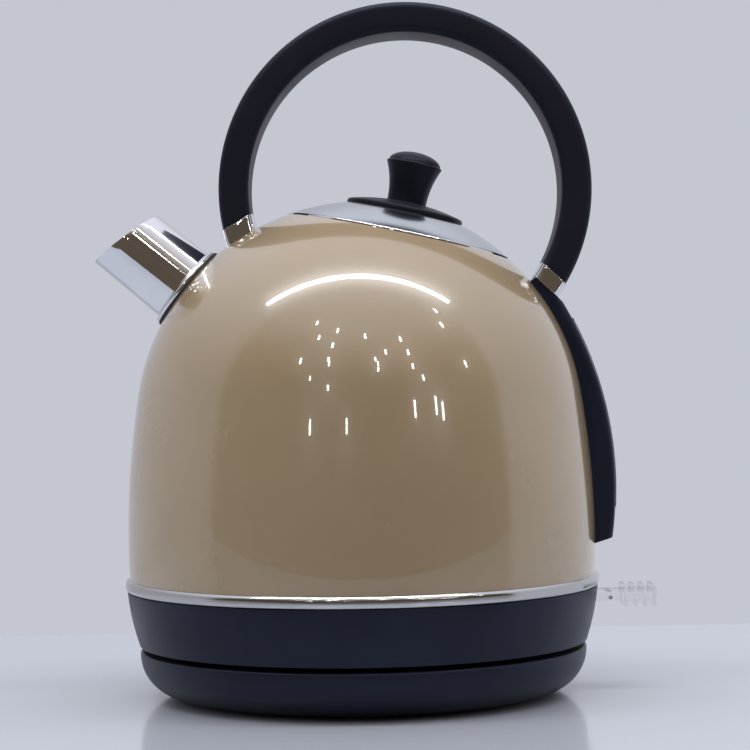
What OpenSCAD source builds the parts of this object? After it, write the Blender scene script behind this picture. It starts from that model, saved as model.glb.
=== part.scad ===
// Cordless electric kettle with a domed steel jug, a loop handle over the lid and a round power base.
// Millimetres, +Z up. The origin is on the kettle's axis, in the plane that the base's feet rest on.
// The spout points along -X and the back strip, its window and the switch lever are at +X.

/* [Jug] */
// Outer radius of the jug at its widest
body_r = 85.4; // [80:0.1:103]
// How far the widest part stands out beyond the dome's radius
belly_bulge = 3.4; // [1:0.1:8]
// Height of the jug's widest part above its lower edge
belly_up = 18; // [14:0.5:24]
// Height of the centre of the spherical dome above the jug's lower edge
dome_up = 58.6; // [48:0.1:72]
// Wall of the steel jug
shell_wall = 0.8; // [0.5:0.1:1.5]
// Thickness of the jug's floor
floor_t = 0.8; // [0.6:0.1:1.5]
// How far the floor lies above the jug's lower edge
floor_up = 8.2; // [7:0.1:11]
// Height of the bright ring round the jug's foot
trim_h = 4.5; // [3:0.1:6]
// How far the bright ring stands out
trim_proud = 1.2; // [0.6:0.1:2.5]

/* [Lid] */
// Tilt of the lid towards the back, in degrees
lid_tilt = 12.6; // [5:0.1:20]
// Radius of the lid's rim
lid_r = 41.6; // [34:0.1:45]
// Height of the lid's dome above its rim
lid_dome_h = 11.9; // [8:0.1:16]
// Thickness of the lid's steel
lid_t = 0.8; // [0.6:0.1:1.5]
// Gap between the lid's rim and the mouth
lid_gap = 0.4; // [0.2:0.05:1]
// Depth of the mouth's seat below the lid's rim
seat_depth = 3; // [2:0.1:5]
// Depth of the pan under the lid, below its rim
pan_depth = 10.5; // [6:0.1:14]
// Radius of the knob's head
knob_r = 10.2; // [8:0.1:14]
// Height of the knob's head rim above the lid's rim
knob_h = 27.1; // [22:0.1:34]
// Radius of the disc under the knob
knob_base_r = 21.5; // [16:0.5:26]

/* [Spout] */
// Angle of the spout above the horizontal, in degrees
spout_up = 39.5; // [32:0.5:48]
// Outer radius of the spout at the jug
spout_r = 14.5; // [11:0.1:18]
// Outer radius of the spout at its mouth
spout_mouth_r = 13.8; // [10.5:0.1:17]
// Length of the spout's lower edge, from the jug
spout_len = 31.6; // [22:0.1:42]
// Slant of the spout's mouth, in degrees
spout_slant = 15; // [0:0.5:25]
// Wall of the spout
spout_wall = 0.9; // [0.6:0.1:1.5]

/* [Handle] */
// Height of the loop's middle line above the line that joins its two feet
handle_rise = 84.1; // [65:0.1:98]
// Thickness of the loop, measured outwards from its centre
handle_t = 11; // [8:0.1:15]
// Width of the loop
handle_w = 26; // [20:0.5:34]
// Rounding of the loop's edges
handle_edge = 2.4; // [1:0.1:4]
// Angle of the front foot from the top of the dome, in degrees
front_foot_a = 30.2; // [26:0.1:36]
// Height of the front collar above the dome
front_collar_h = 4.5; // [3:0.1:8]
// Angle of the back foot from the top of the dome, in degrees
back_foot_a = 52.6; // [49:0.1:56]
// Height of the handle's back end above the dome
back_end_h = 7.7; // [7:0.1:12]
// Slope of the back foot's faces, in degrees
back_seat_tilt = 43; // [38:0.5:48]
// Height of the back collar
back_collar_h = 5.5; // [4:0.1:6.5]
// How far the collars stand out beyond the handle
collar_proud = 0.5; // [0.1:0.1:1]

/* [Back strip] */
// How far the strip's outermost point lies below the dome's centre
strip_mid_down = 22.6; // [14:0.1:28]
// How far the strip stands out at that point, beyond the jug's widest part
strip_proud = 7; // [5:0.1:10]
// How far the strip stands out beyond the handle at the collar
strip_lip = 3.9; // [3:0.1:5]
// Height of the strip's lower end above the jug's lower edge
strip_up = 15.5; // [11:0.5:20]
// Slope of the strip's lower end, in degrees
strip_end_slope = 17; // [0:1:30]
// Width of the window
window_w = 13; // [9:0.5:17]
// Height of the window's lower end above the jug's lower edge
window_up = 28; // [25:0.5:36]
// Height of the window's upper end above the dome's centre
window_top = 38.4; // [20:0.1:40]
// How far the window stands out of the strip
window_proud = 0.9; // [0.3:0.1:2]

/* [Foot of the jug] */
// Height of the black foot
foot_h = 19.8; // [18:0.1:24]
// How far the foot's upper edge stands out beyond the jug's widest part
foot_step = 0.6; // [0.3:0.1:1.5]
// How much the foot's radius falls off towards its lower edge
foot_taper = 4.2; // [2:0.1:7]
// Gap between the foot and the power base
foot_gap = 1.8; // [1.4:0.1:2.4]
// Wall of the black foot
foot_wall = 2.5; // [2:0.1:3.5]

/* [Switch] */
// How far the lever's pivot lies inside the foot's upper edge
pivot_in = 11.5; // [10.5:0.1:13]
// How far the pivot lies below the jug's lower edge
pivot_down = 4.6; // [4.4:0.1:5.4]
// How far the lever reaches out beyond the foot
lever_out = 20.8; // [16:0.1:26]
// Length of the ribbed thumb plate
thumb_l = 11.6; // [8:0.1:15]
// Width of the thumb plate
thumb_w = 20; // [14:0.5:26]
// Width of the lever's arm
arm_w = 16; // [10:0.5:18]
// Thickness of the lever's arm
arm_t = 3.2; // [2.5:0.1:4]
// Height over the ribs of the thumb plate
rib_h = 7.2; // [5:0.1:9]
// Radius of the pivot pin
pin_r = 1.5; // [1:0.05:2]
// How far the lever swings down, in degrees
lever_swing = 13; // [8:0.5:15]

/* [Power base] */
// How far the base's side lies inside the foot's lower edge
base_step = 0.2; // [0:0.1:1.5]
// Height of the base's top
base_top_z = 17.4; // [16.8:0.1:20]
// Radius of the base's rounded lower corner
base_corner_r = 15.2; // [10:0.1:16]
// Wall of the base
base_wall = 2.2; // [1.6:0.1:3]
// How far the feet stand out below the base
foot_out = 1; // [0.6:0.1:1.5]
// Radius of a rubber foot
pad_r = 6; // [4:0.5:8]
// Radius of the round socket that stands up from the base
socket_r = 17.5; // [16:0.5:22]
// Height of the socket's top above the base's top
socket_up = 12.1; // [10:0.1:13]
// Radius of the cord's hole
cord_hole_r = 3.3; // [2.5:0.1:4]
// Height of the cord's hole
cord_hole_z = 9.6; // [9:0.1:10]

/* [Hidden] */
$fn = 96;
EPS = 0.01; // overlap of a cutter beyond a face
FAR = 300; // longer than anything that is cut

// Heights, from the table upwards
foot_z0 = base_top_z + foot_gap;
shell_z0 = foot_z0 + foot_h;
belly_z = shell_z0 + belly_up;
dome_z = shell_z0 + dome_up;
floor_z = shell_z0 + floor_up;

// Dome and belly: a sphere that runs smoothly into a long arc
dome_r = body_r - belly_bulge;
belly_h = dome_z - belly_z;
belly_arc = (body_r * body_r - dome_r * dome_r + belly_h * belly_h) / (2 * belly_bulge);
blend_a = asin(belly_h / (belly_arc - dome_r));
jug_edge_r = body_r - belly_arc + sqrt(belly_arc * belly_arc - belly_up * belly_up);

// Lid, measured along its own axis from the dome's centre
lid_rim_d = sqrt(dome_r * dome_r - lid_r * lid_r);
lid_ball_r = (lid_r * lid_r + lid_dome_h * lid_dome_h) / (2 * lid_dome_h);
mouth_r = lid_r + lid_gap;
seat_w = 4;
neck_r = mouth_r - seat_w;
neck_depth = 9;
neck_t = 0.8;
pan_gap = 0.8;
pan_r = neck_r - neck_t - pan_gap;
pan_t = 0.6;
lid_edge_h = 1.4;
rim_w = 1;
seal_gap = 0.2;
knob_disc_t = 1.5;
knob_dome = 4.8;
knob_stem_r = 7.2;
lid_screw_r = 2;

// Spout, measured along its own axis from the dome's centre
spout_end_d = dome_r + spout_len;
spout_hole_r = spout_r - spout_wall;
flange_w = 1.9;
flange_t = 1.7;
filter_r = spout_hole_r + 2;
filter_t = 0.6;

// Handle: the circle through both feet that rises handle_rise above their line
function on_dome_point(angle, radius) = [radius * sin(angle), dome_z + radius * cos(angle)];
front_p = on_dome_point(-front_foot_a, dome_r + front_collar_h);
back_p = on_dome_point(back_foot_a, dome_r + back_end_h);
feet_v = back_p - front_p;
feet_l = norm(feet_v);
loop_r = (feet_l * feet_l / 4 + handle_rise * handle_rise) / (2 * handle_rise);
feet_up = [-feet_v[1], feet_v[0]] / feet_l;
loop_c = (front_p + back_p) / 2 + feet_up * (handle_rise - loop_r);
function loop_angle(p) = atan2(p[1] - loop_c[1], p[0] - loop_c[0]);
back_a = loop_angle(back_p);
front_a = loop_angle(front_p) + (loop_angle(front_p) < 0 ? 360 : 0);
end_extra = 9; // degrees of the arc past each foot, which the end faces cut away
collar_extra = 25; // degrees of the collar's arc below its foot
tongue_t = 5;
tongue_w = 15;
tongue_in = 12; // depth of the tongue in the handle
tongue_out = 26; // reach of the tongue towards the jug, which cuts it to length
handle_screw_r = 2;
handle_screw_head = 3.4;
handle_head_h = 2;
handle_sink = 2.6; // depth of the heads' seats in the handle
loop_screw_a = 5.2; // angle of the screws on the loop, beyond its feet
bracket_gap = 0.2;

// Back strip: an arc through its outermost point and the outer edge of its seat under the collar
seat_n = [sin(back_seat_tilt), cos(back_seat_tilt)];
seat_t = [cos(back_seat_tilt), -sin(back_seat_tilt)];
function seat_point(down) = back_p - seat_n * down;
strip_r = body_r + strip_proud;
strip_mid_z = dome_z - strip_mid_down;
strip_top_p = seat_point(back_collar_h) + seat_t * (handle_t / 2 + strip_lip);
strip_in = strip_r - strip_top_p[0];
strip_arc_r = (strip_in * strip_in + pow(strip_top_p[1] - strip_mid_z, 2)) / (2 * strip_in);
strip_cx = strip_r - strip_arc_r;
strip_z0 = shell_z0 + strip_up;
strip_depth = 26;
window_z0 = shell_z0 + window_up;
window_z1 = dome_z + window_top;
strip_w = handle_w;
strip_edge = handle_edge;
window_t = 1.8;
window_gap = 0.15;
seal_t = 1.2;
seal_w = 2;

// Foot of the jug
foot_r = body_r + foot_step;
foot_low_r = foot_r - foot_taper;
foot_bulge = 0.6;
foot_steps = 8;
flange_h = 2.2;
spigot_r = jug_edge_r - shell_wall - 0.2;
spigot_t = 1.8;
cover_t = 2;
cover_z = foot_z0 + 1.8;
cover_gap = 0.1;
cover_r = foot_low_r - foot_wall - cover_gap;
cover_screw_at = cover_r - 3.3;
cover_boss_r = 4.6;
rest_rib_r = cover_r - 9.2;
rest_gap = 0.1;
recess_r = socket_r + 3.7;
recess_wall = 2;

// Connector: plug in the jug and socket in the base
socket_top = base_top_z + socket_up;
plug_z = socket_top + 1.5;
plug_t = 5.4;
plug_r = recess_r - 0.6;
plug_gap = 0.3;
ring_r = 13;
ring_t = 0.8;
slot_gap = 0.4;
centre_pin_r = 3;
tip_gap = 1.5;

// Steam path and switch
pivot_x = foot_r - pivot_in;
pivot_z = shell_z0 - pivot_down;
lever_tip_x = foot_r + lever_out;
steam_x = pivot_x - 13.5;
steam_r = 4.6;
steam_wall = 0.6;
steam_top = dome_z + 34;
ear_t = 2;
ear_l = 7.2;
ear_gap = 0.3;
boss_r = 3.2;
rib_t = 1.2;
pin_gap = 0.05;
slot_clear = 0.8;
switch_x1 = pivot_x - boss_r - 2.2;
switch_l = 17;
switch_w = 22;
switch_h = 14.6;
lamp_r = 2;
lamp_y = 5.5;
lead_r = 1.1;
lead_y = 8.5;
lead_z = plug_z + plug_t + plug_gap + 3.3;

// Heating
spreader_r = steam_x - steam_r - 11.4;
spreader_t = 2;
element_r = spreader_r - 7;
element_tube = 3.2;
control_r = recess_r + recess_wall + 2.8;
floor_flange_h = 3.4;

// Base
base_r = foot_low_r - base_step;
base_floor_z = foot_out;
plate_t = 3;
plate_r = base_r - base_corner_r - base_wall - 2;
boss_r0 = 4;
boss_at = plate_r - 14.2;
pad_at = plate_r - pad_r - 2.5;
pad_seat = 1.5;
screw_r = 1.5;
screw_l = 9;
screw_head_r = 3;
screw_head_h = 1.5;
head_gap = 0.3;
gland_r = cord_hole_r + 2.2;
gland_l = 9.5;

// ---------- Shapes that several pieces share ----------

// Outline of the jug's side, moved outwards by t, from height z0 to the top of the dome
function side_outline(t, z0) =
    let (low_a = asin((z0 - belly_z) / (belly_arc + t)))
    concat(
        [for (i = [0 : 12])
            let (a = low_a + (blend_a - low_a) * i / 12)
            [body_r - belly_arc + (belly_arc + t) * cos(a), belly_z + (belly_arc + t) * sin(a)]],
        [for (i = [1 : 26])
            let (a = blend_a + (90 - blend_a) * i / 26)
            [(dome_r + t) * cos(a), dome_z + (dome_r + t) * sin(a)]]);

// The whole jug as one solid, its side moved outwards by t
module jug_solid(t, z0) {
    rotate_extrude()
        polygon(concat([[0, z0]], side_outline(t, z0)));
}

// Places children on the dome, with +Z along the dome's radius, tilted from the top towards +X
module on_dome(tilt) {
    translate([0, 0, dome_z])
        rotate([0, tilt, 0])
            children();
}

// A tube between two heights
module ring(r_out, r_in, z0, z1) {
    difference() {
        translate([0, 0, z0])
            cylinder(r = r_out, h = z1 - z0);
        translate([0, 0, z0 - EPS])
            cylinder(r = r_in, h = z1 - z0 + 2 * EPS);
    }
}

// A rectangle with rounded corners, centred
module soft_rect(w, h, r) {
    offset(r = r, $fn = 24)
        square([w - 2 * r, h - 2 * r], center = true);
}

// Copies children n times round the kettle's axis
module around(n, radius, first = 0) {
    for (i = [0 : n - 1])
        rotate([0, 0, first + i * 360 / n])
            translate([radius, 0, 0])
                children();
}

// Turns a section round a line along Y through a point of the XZ plane.
// The section's x is the radius and its y lies along -Y.
module swing(centre, a0, a1) {
    translate([centre[0], 0, centre[1]])
        rotate([90, 0, 0])
            rotate_extrude(angle = a1 - a0, start = a0, $fn = 180)
                children();
}

// A block on the lower side of a sloping face through a point of the XZ plane
module below_face(p, tilt, depth, size = 44) {
    translate([p[0], 0, p[1]])
        rotate([0, tilt, 0])
            translate([-size / 2, -size, -depth])
                cube([size, 2 * size, depth]);
}

// A block on the upper side of that face
module above_face(p, tilt, height, size = 44) {
    translate([p[0], 0, p[1]])
        rotate([0, tilt, 0])
            translate([-size / 2, -size, 0])
                cube([size, 2 * size, height]);
}

// ---------- Power base ----------

module base_housing() color([0.11, 0.11, 0.13]) {
    edge = 1;
    corner_z = base_floor_z + base_corner_r;
    corner_x = base_r - base_corner_r;
    inner_r = base_corner_r - base_wall;
    difference() {
        union() {
            rotate_extrude()
                polygon(concat(
                    [[corner_x, base_floor_z]],
                    [for (a = [-84 : 6 : 0])
                        [corner_x + base_corner_r * cos(a), corner_z + base_corner_r * sin(a)]],
                    [[base_r, base_top_z - edge], [base_r - edge, base_top_z], [socket_r + 0.2, base_top_z],
                        [socket_r + 0.2, base_top_z - base_wall],
                        [corner_x + inner_r - 3, base_top_z - base_wall]],
                    [for (a = [-30 : -6 : -84]) [corner_x + inner_r * cos(a), corner_z + inner_r * sin(a)]],
                    [[corner_x, base_floor_z + base_wall], [plate_r + 0.2, base_floor_z + base_wall],
                        [plate_r + 0.2, base_floor_z]]));
            around(3, boss_at, 60)
                translate([0, 0, base_floor_z + plate_t])
                    cylinder(r = boss_r0, h = base_top_z - base_wall - base_floor_z - plate_t + EPS);
        }
        around(3, boss_at, 60)
            translate([0, 0, base_floor_z + plate_t - EPS])
                cylinder(r = screw_r, h = screw_l);
        translate([0, base_r, cord_hole_z])
            rotate([90, 0, 0])
                cylinder(r = gland_r, h = base_corner_r);
    }
}

module base_plate() color([0.13, 0.13, 0.15])
    difference() {
        translate([0, 0, base_floor_z])
            cylinder(r = plate_r, h = plate_t);
        around(3, boss_at, 60) {
            translate([0, 0, base_floor_z - EPS])
                cylinder(r = screw_r + 0.2, h = plate_t + 2 * EPS);
            translate([0, 0, base_floor_z - EPS])
                cylinder(r = screw_head_r + head_gap, h = screw_head_h + head_gap + EPS);
        }
        around(4, pad_at, 45)
            translate([0, 0, base_floor_z - EPS])
                cylinder(r = pad_r, h = pad_seat + EPS);
    }

// Cross-slotted screw that stands on its head, its head's underside at z = 0
module screw(r, l, head_r, head_h) {
    difference() {
        union() {
            translate([0, 0, -head_h])
                cylinder(r = head_r, h = head_h);
            translate([0, 0, -EPS])
                cylinder(r = r, h = l + EPS);
        }
        for (a = [0, 90])
            rotate([0, 0, a])
                translate([-0.66 * head_r, -0.12 * head_r, -head_h - EPS])
                    cube([1.32 * head_r, 0.24 * head_r, 0.5 * head_h + EPS]);
    }
}

module base_screws() color([0.75, 0.75, 0.77])
    around(3, boss_at, 60)
        translate([0, 0, base_floor_z + screw_head_h + head_gap])
            screw(screw_r, screw_l, screw_head_r, screw_head_h);

module rubber_feet() color([0.2, 0.2, 0.2])
    around(4, pad_at, 45)
        cylinder(r = pad_r, h = base_floor_z + pad_seat);

module base_socket() color([0.1, 0.1, 0.1])
    difference() {
        union() {
            translate([0, 0, base_top_z - base_wall - EPS])
                cylinder(r = socket_r, h = socket_up + base_wall - 1 + EPS);
            translate([0, 0, socket_top - 1])
                cylinder(r1 = socket_r, r2 = socket_r - 1, h = 1);
            translate([0, 0, base_floor_z + plate_t + 2])
                cylinder(r = socket_r + 6, h = base_top_z - base_wall - base_floor_z - plate_t - 2);
        }
        translate([0, 0, base_top_z - 2])
            cylinder(r = centre_pin_r + slot_gap + 0.8, h = FAR);
        translate([0, 0, base_top_z - 0.5])
            ring(ring_r + slot_gap, ring_r - ring_t - slot_gap, 0, 40);
        translate([0, 0, base_top_z + 1])
            ring(ring_r + slot_gap + 0.8, ring_r - ring_t - slot_gap, 0, 5);
    }

module socket_contacts() color([0.83, 0.65, 0.3]) {
    ring(centre_pin_r + slot_gap + 0.8, centre_pin_r + slot_gap, base_top_z - 2, socket_top - 2);
    ring(ring_r + slot_gap + 0.8, ring_r + slot_gap, base_top_z + 1, base_top_z + 6);
}

module cord_gland() color([0.12, 0.12, 0.12])
    translate([0, base_r, cord_hole_z])
        rotate([90, 0, 0])
            ring(gland_r, cord_hole_r, 0, gland_l);

// ---------- Plug that turns in the base ----------

module plug_body() color([0.12, 0.12, 0.12])
    difference() {
        translate([0, 0, plug_z])
            cylinder(r = plug_r, h = plug_t);
        translate([0, 0, plug_z - EPS])
            cylinder(r = centre_pin_r, h = plug_t + 2 * EPS);
        ring(ring_r, ring_r - ring_t, plug_z - EPS, plug_z + 4);
    }

module plug_contacts() color([0.85, 0.7, 0.38]) {
    translate([0, 0, base_top_z + tip_gap])
        cylinder(r1 = centre_pin_r - 0.8, r2 = centre_pin_r, h = 1);
    translate([0, 0, base_top_z + tip_gap + 1])
        cylinder(r = centre_pin_r, h = plug_z + plug_t - base_top_z - tip_gap - 1);
    ring(ring_r, ring_r - ring_t, base_top_z + tip_gap, plug_z + 4);
}

// ---------- Jug ----------

module window_slot(extra, z_extra) {
    translate([0, -window_w / 2 - extra, window_z0 - z_extra])
        cube([FAR, window_w + 2 * extra, window_z1 - window_z0 + 2 * z_extra]);
}

module body_shell() color([0.68, 0.62, 0.52])
    difference() {
        jug_solid(0, shell_z0);
        jug_solid(-shell_wall, shell_z0);
        on_dome(lid_tilt)
            cylinder(r = mouth_r, h = FAR);
        on_dome(spout_up - 90)
            cylinder(r = spout_hole_r, h = FAR);
        window_slot(window_gap, window_gap);
    }

// Seat and neck that the lid drops into, welded to the jug's mouth
module mouth_ring() color([0.8, 0.8, 0.8])
    intersection() {
        on_dome(lid_tilt)
            translate([0, 0, lid_rim_d])
                rotate_extrude()
                    polygon([[mouth_r + neck_t, 2], [mouth_r + neck_t, -seat_depth - neck_t],
                        [neck_r, -seat_depth - neck_t], [neck_r, -neck_depth], [neck_r - neck_t, -neck_depth],
                        [neck_r - neck_t, -seat_depth], [mouth_r, -seat_depth], [mouth_r, 2]]);
        jug_solid(-shell_wall, shell_z0);
    }

module spout() color([0.9, 0.9, 0.9])
    difference() {
        on_dome(spout_up - 90) {
            d0 = dome_r - 8;
            d1 = spout_end_d;
            slope = (spout_r - spout_mouth_r) / spout_len;
            difference() {
                translate([0, 0, d0])
                    cylinder(r1 = spout_r + slope * 8, r2 = spout_mouth_r, h = d1 - d0);
                translate([0, 0, d0 - EPS])
                    cylinder(r1 = spout_r + slope * 8 - spout_wall, r2 = spout_mouth_r - spout_wall,
                        h = d1 - d0 + 2 * EPS);
                // The mouth is cut on a slant, and its lower lip is the longer one
                translate([-spout_mouth_r, 0, d1])
                    rotate([0, spout_slant, 0])
                        translate([-FAR / 4, -FAR / 4, 0])
                            cube([FAR, FAR / 2, FAR]);
            }
        }
        jug_solid(0, shell_z0);
    }

module spout_flange() color([0.88, 0.88, 0.88])
    difference() {
        on_dome(spout_up - 90)
            translate([0, 0, dome_r - 6])
                rotate_extrude()
                    polygon([[spout_r + 0.12, 0], [spout_r + flange_w, 0],
                        [spout_r + flange_w, 4.3 + flange_t],
                        [spout_r + flange_w - 0.6, 4.9 + flange_t], [spout_r + 0.12, 5.1 + flange_t]]);
        jug_solid(0, shell_z0);
    }

// Strainer behind the spout: a framed steel disc with rings of holes
module spout_filter() color([0.72, 0.72, 0.72]) {
    disc_d = dome_r - shell_wall - 5;
    difference() {
        intersection() {
            on_dome(spout_up - 90)
                translate([0, 0, disc_d])
                    cylinder(r = filter_r, h = 12);
            jug_solid(-shell_wall, shell_z0);
        }
        on_dome(spout_up - 90) {
            translate([0, 0, disc_d + filter_t])
                cylinder(r = spout_hole_r, h = 20);
            for (k = [1 : 3])
                for (i = [0 : 6 * k - 1])
                    rotate([0, 0, i * 60 / k])
                        translate([k * 3.4, 0, disc_d - EPS])
                            cylinder(r = 1.2, h = 3, $fn = 16);
            translate([0, 0, disc_d - EPS])
                cylinder(r = 1.2, h = 3, $fn = 16);
        }
    }
}

module trim_ring() color([0.85, 0.85, 0.85])
    difference() {
        rotate_extrude()
            translate([body_r - 1, shell_z0])
                polygon(concat([[0, 0]],
                    [for (a = [-60 : 12 : 60])
                        [1 + trim_proud * (cos(a) - 0.5) / 0.5, trim_h / 2 * (1 + sin(a) / sin(60))]],
                    [[0, trim_h]]));
        jug_solid(0, shell_z0);
    }

// Outline of the foot from its lower to its upper edge, moved outwards by t
function foot_outline(t) = [for (i = [0 : foot_steps])
    [foot_low_r + foot_taper * i / foot_steps + foot_bulge * sin(180 * i / foot_steps) + t,
        foot_z0 + foot_h * i / foot_steps]];

module foot_skirt() color([0.13, 0.13, 0.15]) {
    slot_low = arm_t / 2 + slot_clear + (foot_r - pivot_x) * tan(lever_swing);
    slot_high = arm_t / 2 + slot_clear;
    difference() {
        union() {
            rotate_extrude()
                polygon(concat(foot_outline(0),
                    [for (i = [foot_steps : -1 : 0]) foot_outline(-foot_wall)[i]]));
            ring(foot_r - foot_wall + 0.2, spigot_r - 4, shell_z0 - flange_h, shell_z0);
            ring(spigot_r, spigot_r - spigot_t, shell_z0 - 1, shell_z0 + 4);
            around(3, cover_screw_at, 60)
                translate([0, 0, cover_z + cover_t])
                    cylinder(r = cover_boss_r, h = screw_l + 2);
        }
        around(3, cover_screw_at, 60)
            translate([0, 0, cover_z + cover_t - EPS])
                cylinder(r = screw_r, h = screw_l - cover_t + 0.5);
        translate([pivot_x + 4, -arm_w / 2 - slot_clear, pivot_z - slot_low])
            cube([40, arm_w + 2 * slot_clear, slot_low + slot_high]);
    }
}

// Underside of the jug, with the recess that the base's socket stands in
module bottom_cover() color([0.14, 0.14, 0.16])
    difference() {
        union() {
            translate([0, 0, cover_z])
                cylinder(r = cover_r, h = cover_t);
            translate([0, 0, cover_z])
                cylinder(r = recess_r + recess_wall, h = plug_z + plug_t - cover_z);
            ring(rest_rib_r, rest_rib_r - 2, base_top_z + rest_gap, cover_z + EPS);
        }
        translate([0, 0, cover_z - EPS])
            cylinder(r = recess_r, h = FAR);
        around(3, cover_screw_at, 60)
            translate([0, 0, cover_z - EPS])
                cylinder(r = screw_r + 0.2, h = cover_t + 2 * EPS);
    }

module cover_screws() color([0.75, 0.75, 0.77])
    around(3, cover_screw_at, 60)
        translate([0, 0, cover_z])
            screw(screw_r, screw_l, screw_head_r, screw_head_h);

module jug_floor() color([0.78, 0.78, 0.78])
    difference() {
        intersection() {
            jug_solid(-shell_wall, shell_z0);
            translate([0, 0, floor_z - floor_flange_h])
                cylinder(r = FAR, h = floor_flange_h + floor_t);
        }
        translate([0, 0, floor_z - floor_flange_h - EPS])
            cylinder(r = jug_edge_r - shell_wall - 0.7, h = floor_flange_h + EPS);
        translate([steam_x, 0, floor_z - 1])
            cylinder(r = steam_r, h = 4);
    }

module heat_spreader() color([0.75, 0.76, 0.78])
    translate([0, 0, floor_z - spreader_t])
        cylinder(r = spreader_r, h = spreader_t);

// Tubular element, a horseshoe bonded under the spreader
module heating_element() color([0.6, 0.6, 0.62])
    translate([0, 0, floor_z - spreader_t - element_tube]) {
        rotate([0, 0, 35])
            rotate_extrude(angle = 290)
                translate([element_r, 0])
                    circle(r = element_tube, $fn = 32);
    }

module control_unit() color([0.86, 0.84, 0.78])
    translate([0, 0, plug_z + plug_t + plug_gap])
        difference() {
            cylinder(r = control_r, h = floor_z - spreader_t - plug_z - plug_t - plug_gap);
            translate([0, 0, 4])
                ring(control_r + 1, control_r - 3, 0, 2);
        }

module steam_tube() color([0.8, 0.8, 0.8])
    difference() {
        translate([steam_x, 0, floor_z - 3.5])
            cylinder(r = steam_r, h = steam_top - floor_z + 3.5);
        translate([steam_x, 0, floor_z - 4])
            cylinder(r = steam_r - steam_wall, h = FAR);
        translate([steam_x, 0, steam_top])
            rotate([0, -35, 0])
                translate([-20, -20, 0])
                    cube(40);
    }

module steam_switch() color([0.15, 0.15, 0.16])
    difference() {
        translate([switch_x1 - switch_l, -switch_w / 2, cover_z + cover_t])
            cube([switch_l, switch_w, switch_h]);
        translate([steam_x, 0, cover_z + cover_t + switch_h - 2])
            cylinder(r = 7, h = 4);
        translate([switch_x1 - 3, lamp_y, cover_z + cover_t + 5])
            rotate([0, 90, 0])
                cylinder(r = lamp_r, h = 6);
        translate([switch_x1 - 4, -4, pivot_z - 4])
            cube([6, 8, 8]);
    }

module bimetal_disc() color([0.8, 0.62, 0.42])
    translate([steam_x, 0, cover_z + cover_t + switch_h - 2])
        cylinder(r = 6.5, h = 0.4);

// Two leads from the control unit's rim to the top of the steam switch
module switch_leads() color([0.75, 0.15, 0.12])
    difference() {
        bend_x = switch_x1 - switch_l + 2.4;
        for (y = [-lead_y, lead_y]) {
            translate([0, y, lead_z])
                rotate([0, 90, 0])
                    cylinder(r = lead_r, h = bend_x);
            translate([bend_x, y, lead_z])
                sphere(r = lead_r);
            translate([bend_x, y, cover_z + cover_t + switch_h])
                cylinder(r = lead_r, h = lead_z - cover_z - cover_t - switch_h);
        }
        translate([0, 0, lead_z - 2 * lead_r])
            cylinder(r = control_r, h = 4 * lead_r);
    }

module indicator_lamp() color([0.95, 0.45, 0.2])
    translate([switch_x1 - 3, lamp_y, cover_z + cover_t + 5])
        rotate([0, 90, 0]) {
            cylinder(r = lamp_r, h = 4.5);
            translate([0, 0, 4.5])
                sphere(r = lamp_r);
        }

module switch_bracket() color([0.15, 0.15, 0.16])
    difference() {
        union() {
            translate([switch_x1 + 0.2, -arm_w / 2 - ear_gap - ear_t, cover_z + cover_t])
                cube([pivot_x + ear_l / 2 - switch_x1 - 0.2, arm_w + 2 * ear_gap + 2 * ear_t, 2]);
            for (side = [-1, 1])
                translate([pivot_x - ear_l / 2, side * (arm_w / 2 + ear_gap + ear_t / 2) - ear_t / 2,
                    cover_z + cover_t])
                    cube([ear_l, ear_t, pivot_z + 3.4 - cover_z - cover_t]);
        }
        translate([pivot_x, 0, pivot_z])
            rotate([90, 0, 0])
                cylinder(r = pin_r, h = FAR, center = true);
    }

module switch_pin() color([0.8, 0.8, 0.8])
    translate([pivot_x, 0, pivot_z])
        rotate([90, 0, 0])
            cylinder(r = pin_r, h = arm_w + 2 * ear_gap + 2 * ear_t + 1, center = true);

// Clear lever: an arm on a round boss, and a thumb plate ribbed above and below
module switch_lever() color([0.9, 0.93, 0.95, 0.5])
    translate([pivot_x, 0, pivot_z])
        difference() {
            union() {
                rotate([90, 0, 0])
                    cylinder(r = boss_r, h = arm_w, center = true);
                translate([0, -arm_w / 2, -arm_t / 2])
                    cube([lever_tip_x - thumb_l - pivot_x, arm_w, arm_t]);
                translate([-6.5, -3, -arm_t / 2])
                    cube([6.5, 6, arm_t]);
                translate([lever_tip_x - thumb_l - pivot_x, -thumb_w / 2, -arm_t / 2])
                    cube([thumb_l, thumb_w, arm_t]);
                for (i = [0 : 3])
                    translate([lever_tip_x - pivot_x - rib_t - i * (thumb_l - rib_t) / 3, -thumb_w / 2,
                        -rib_h / 2])
                        cube([rib_t, thumb_w, rib_h]);
            }
            rotate([90, 0, 0])
                cylinder(r = pin_r + pin_gap, h = FAR, center = true);
            translate([lever_tip_x - thumb_l - 5 - pivot_x, 0, -0.4])
                rotate([90, 0, 0])
                    cylinder(r = 0.8, h = FAR, center = true);
        }

// ---------- Back strip and window ----------

// The strip's outer body: a rounded band along its arc, grown by extra
module strip_band(extra, w, edge, depth) {
    swing([strip_cx, strip_mid_z], -14, 36)
        translate([strip_arc_r + extra - depth / 2, 0])
            soft_rect(depth, w, edge);
}

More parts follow.
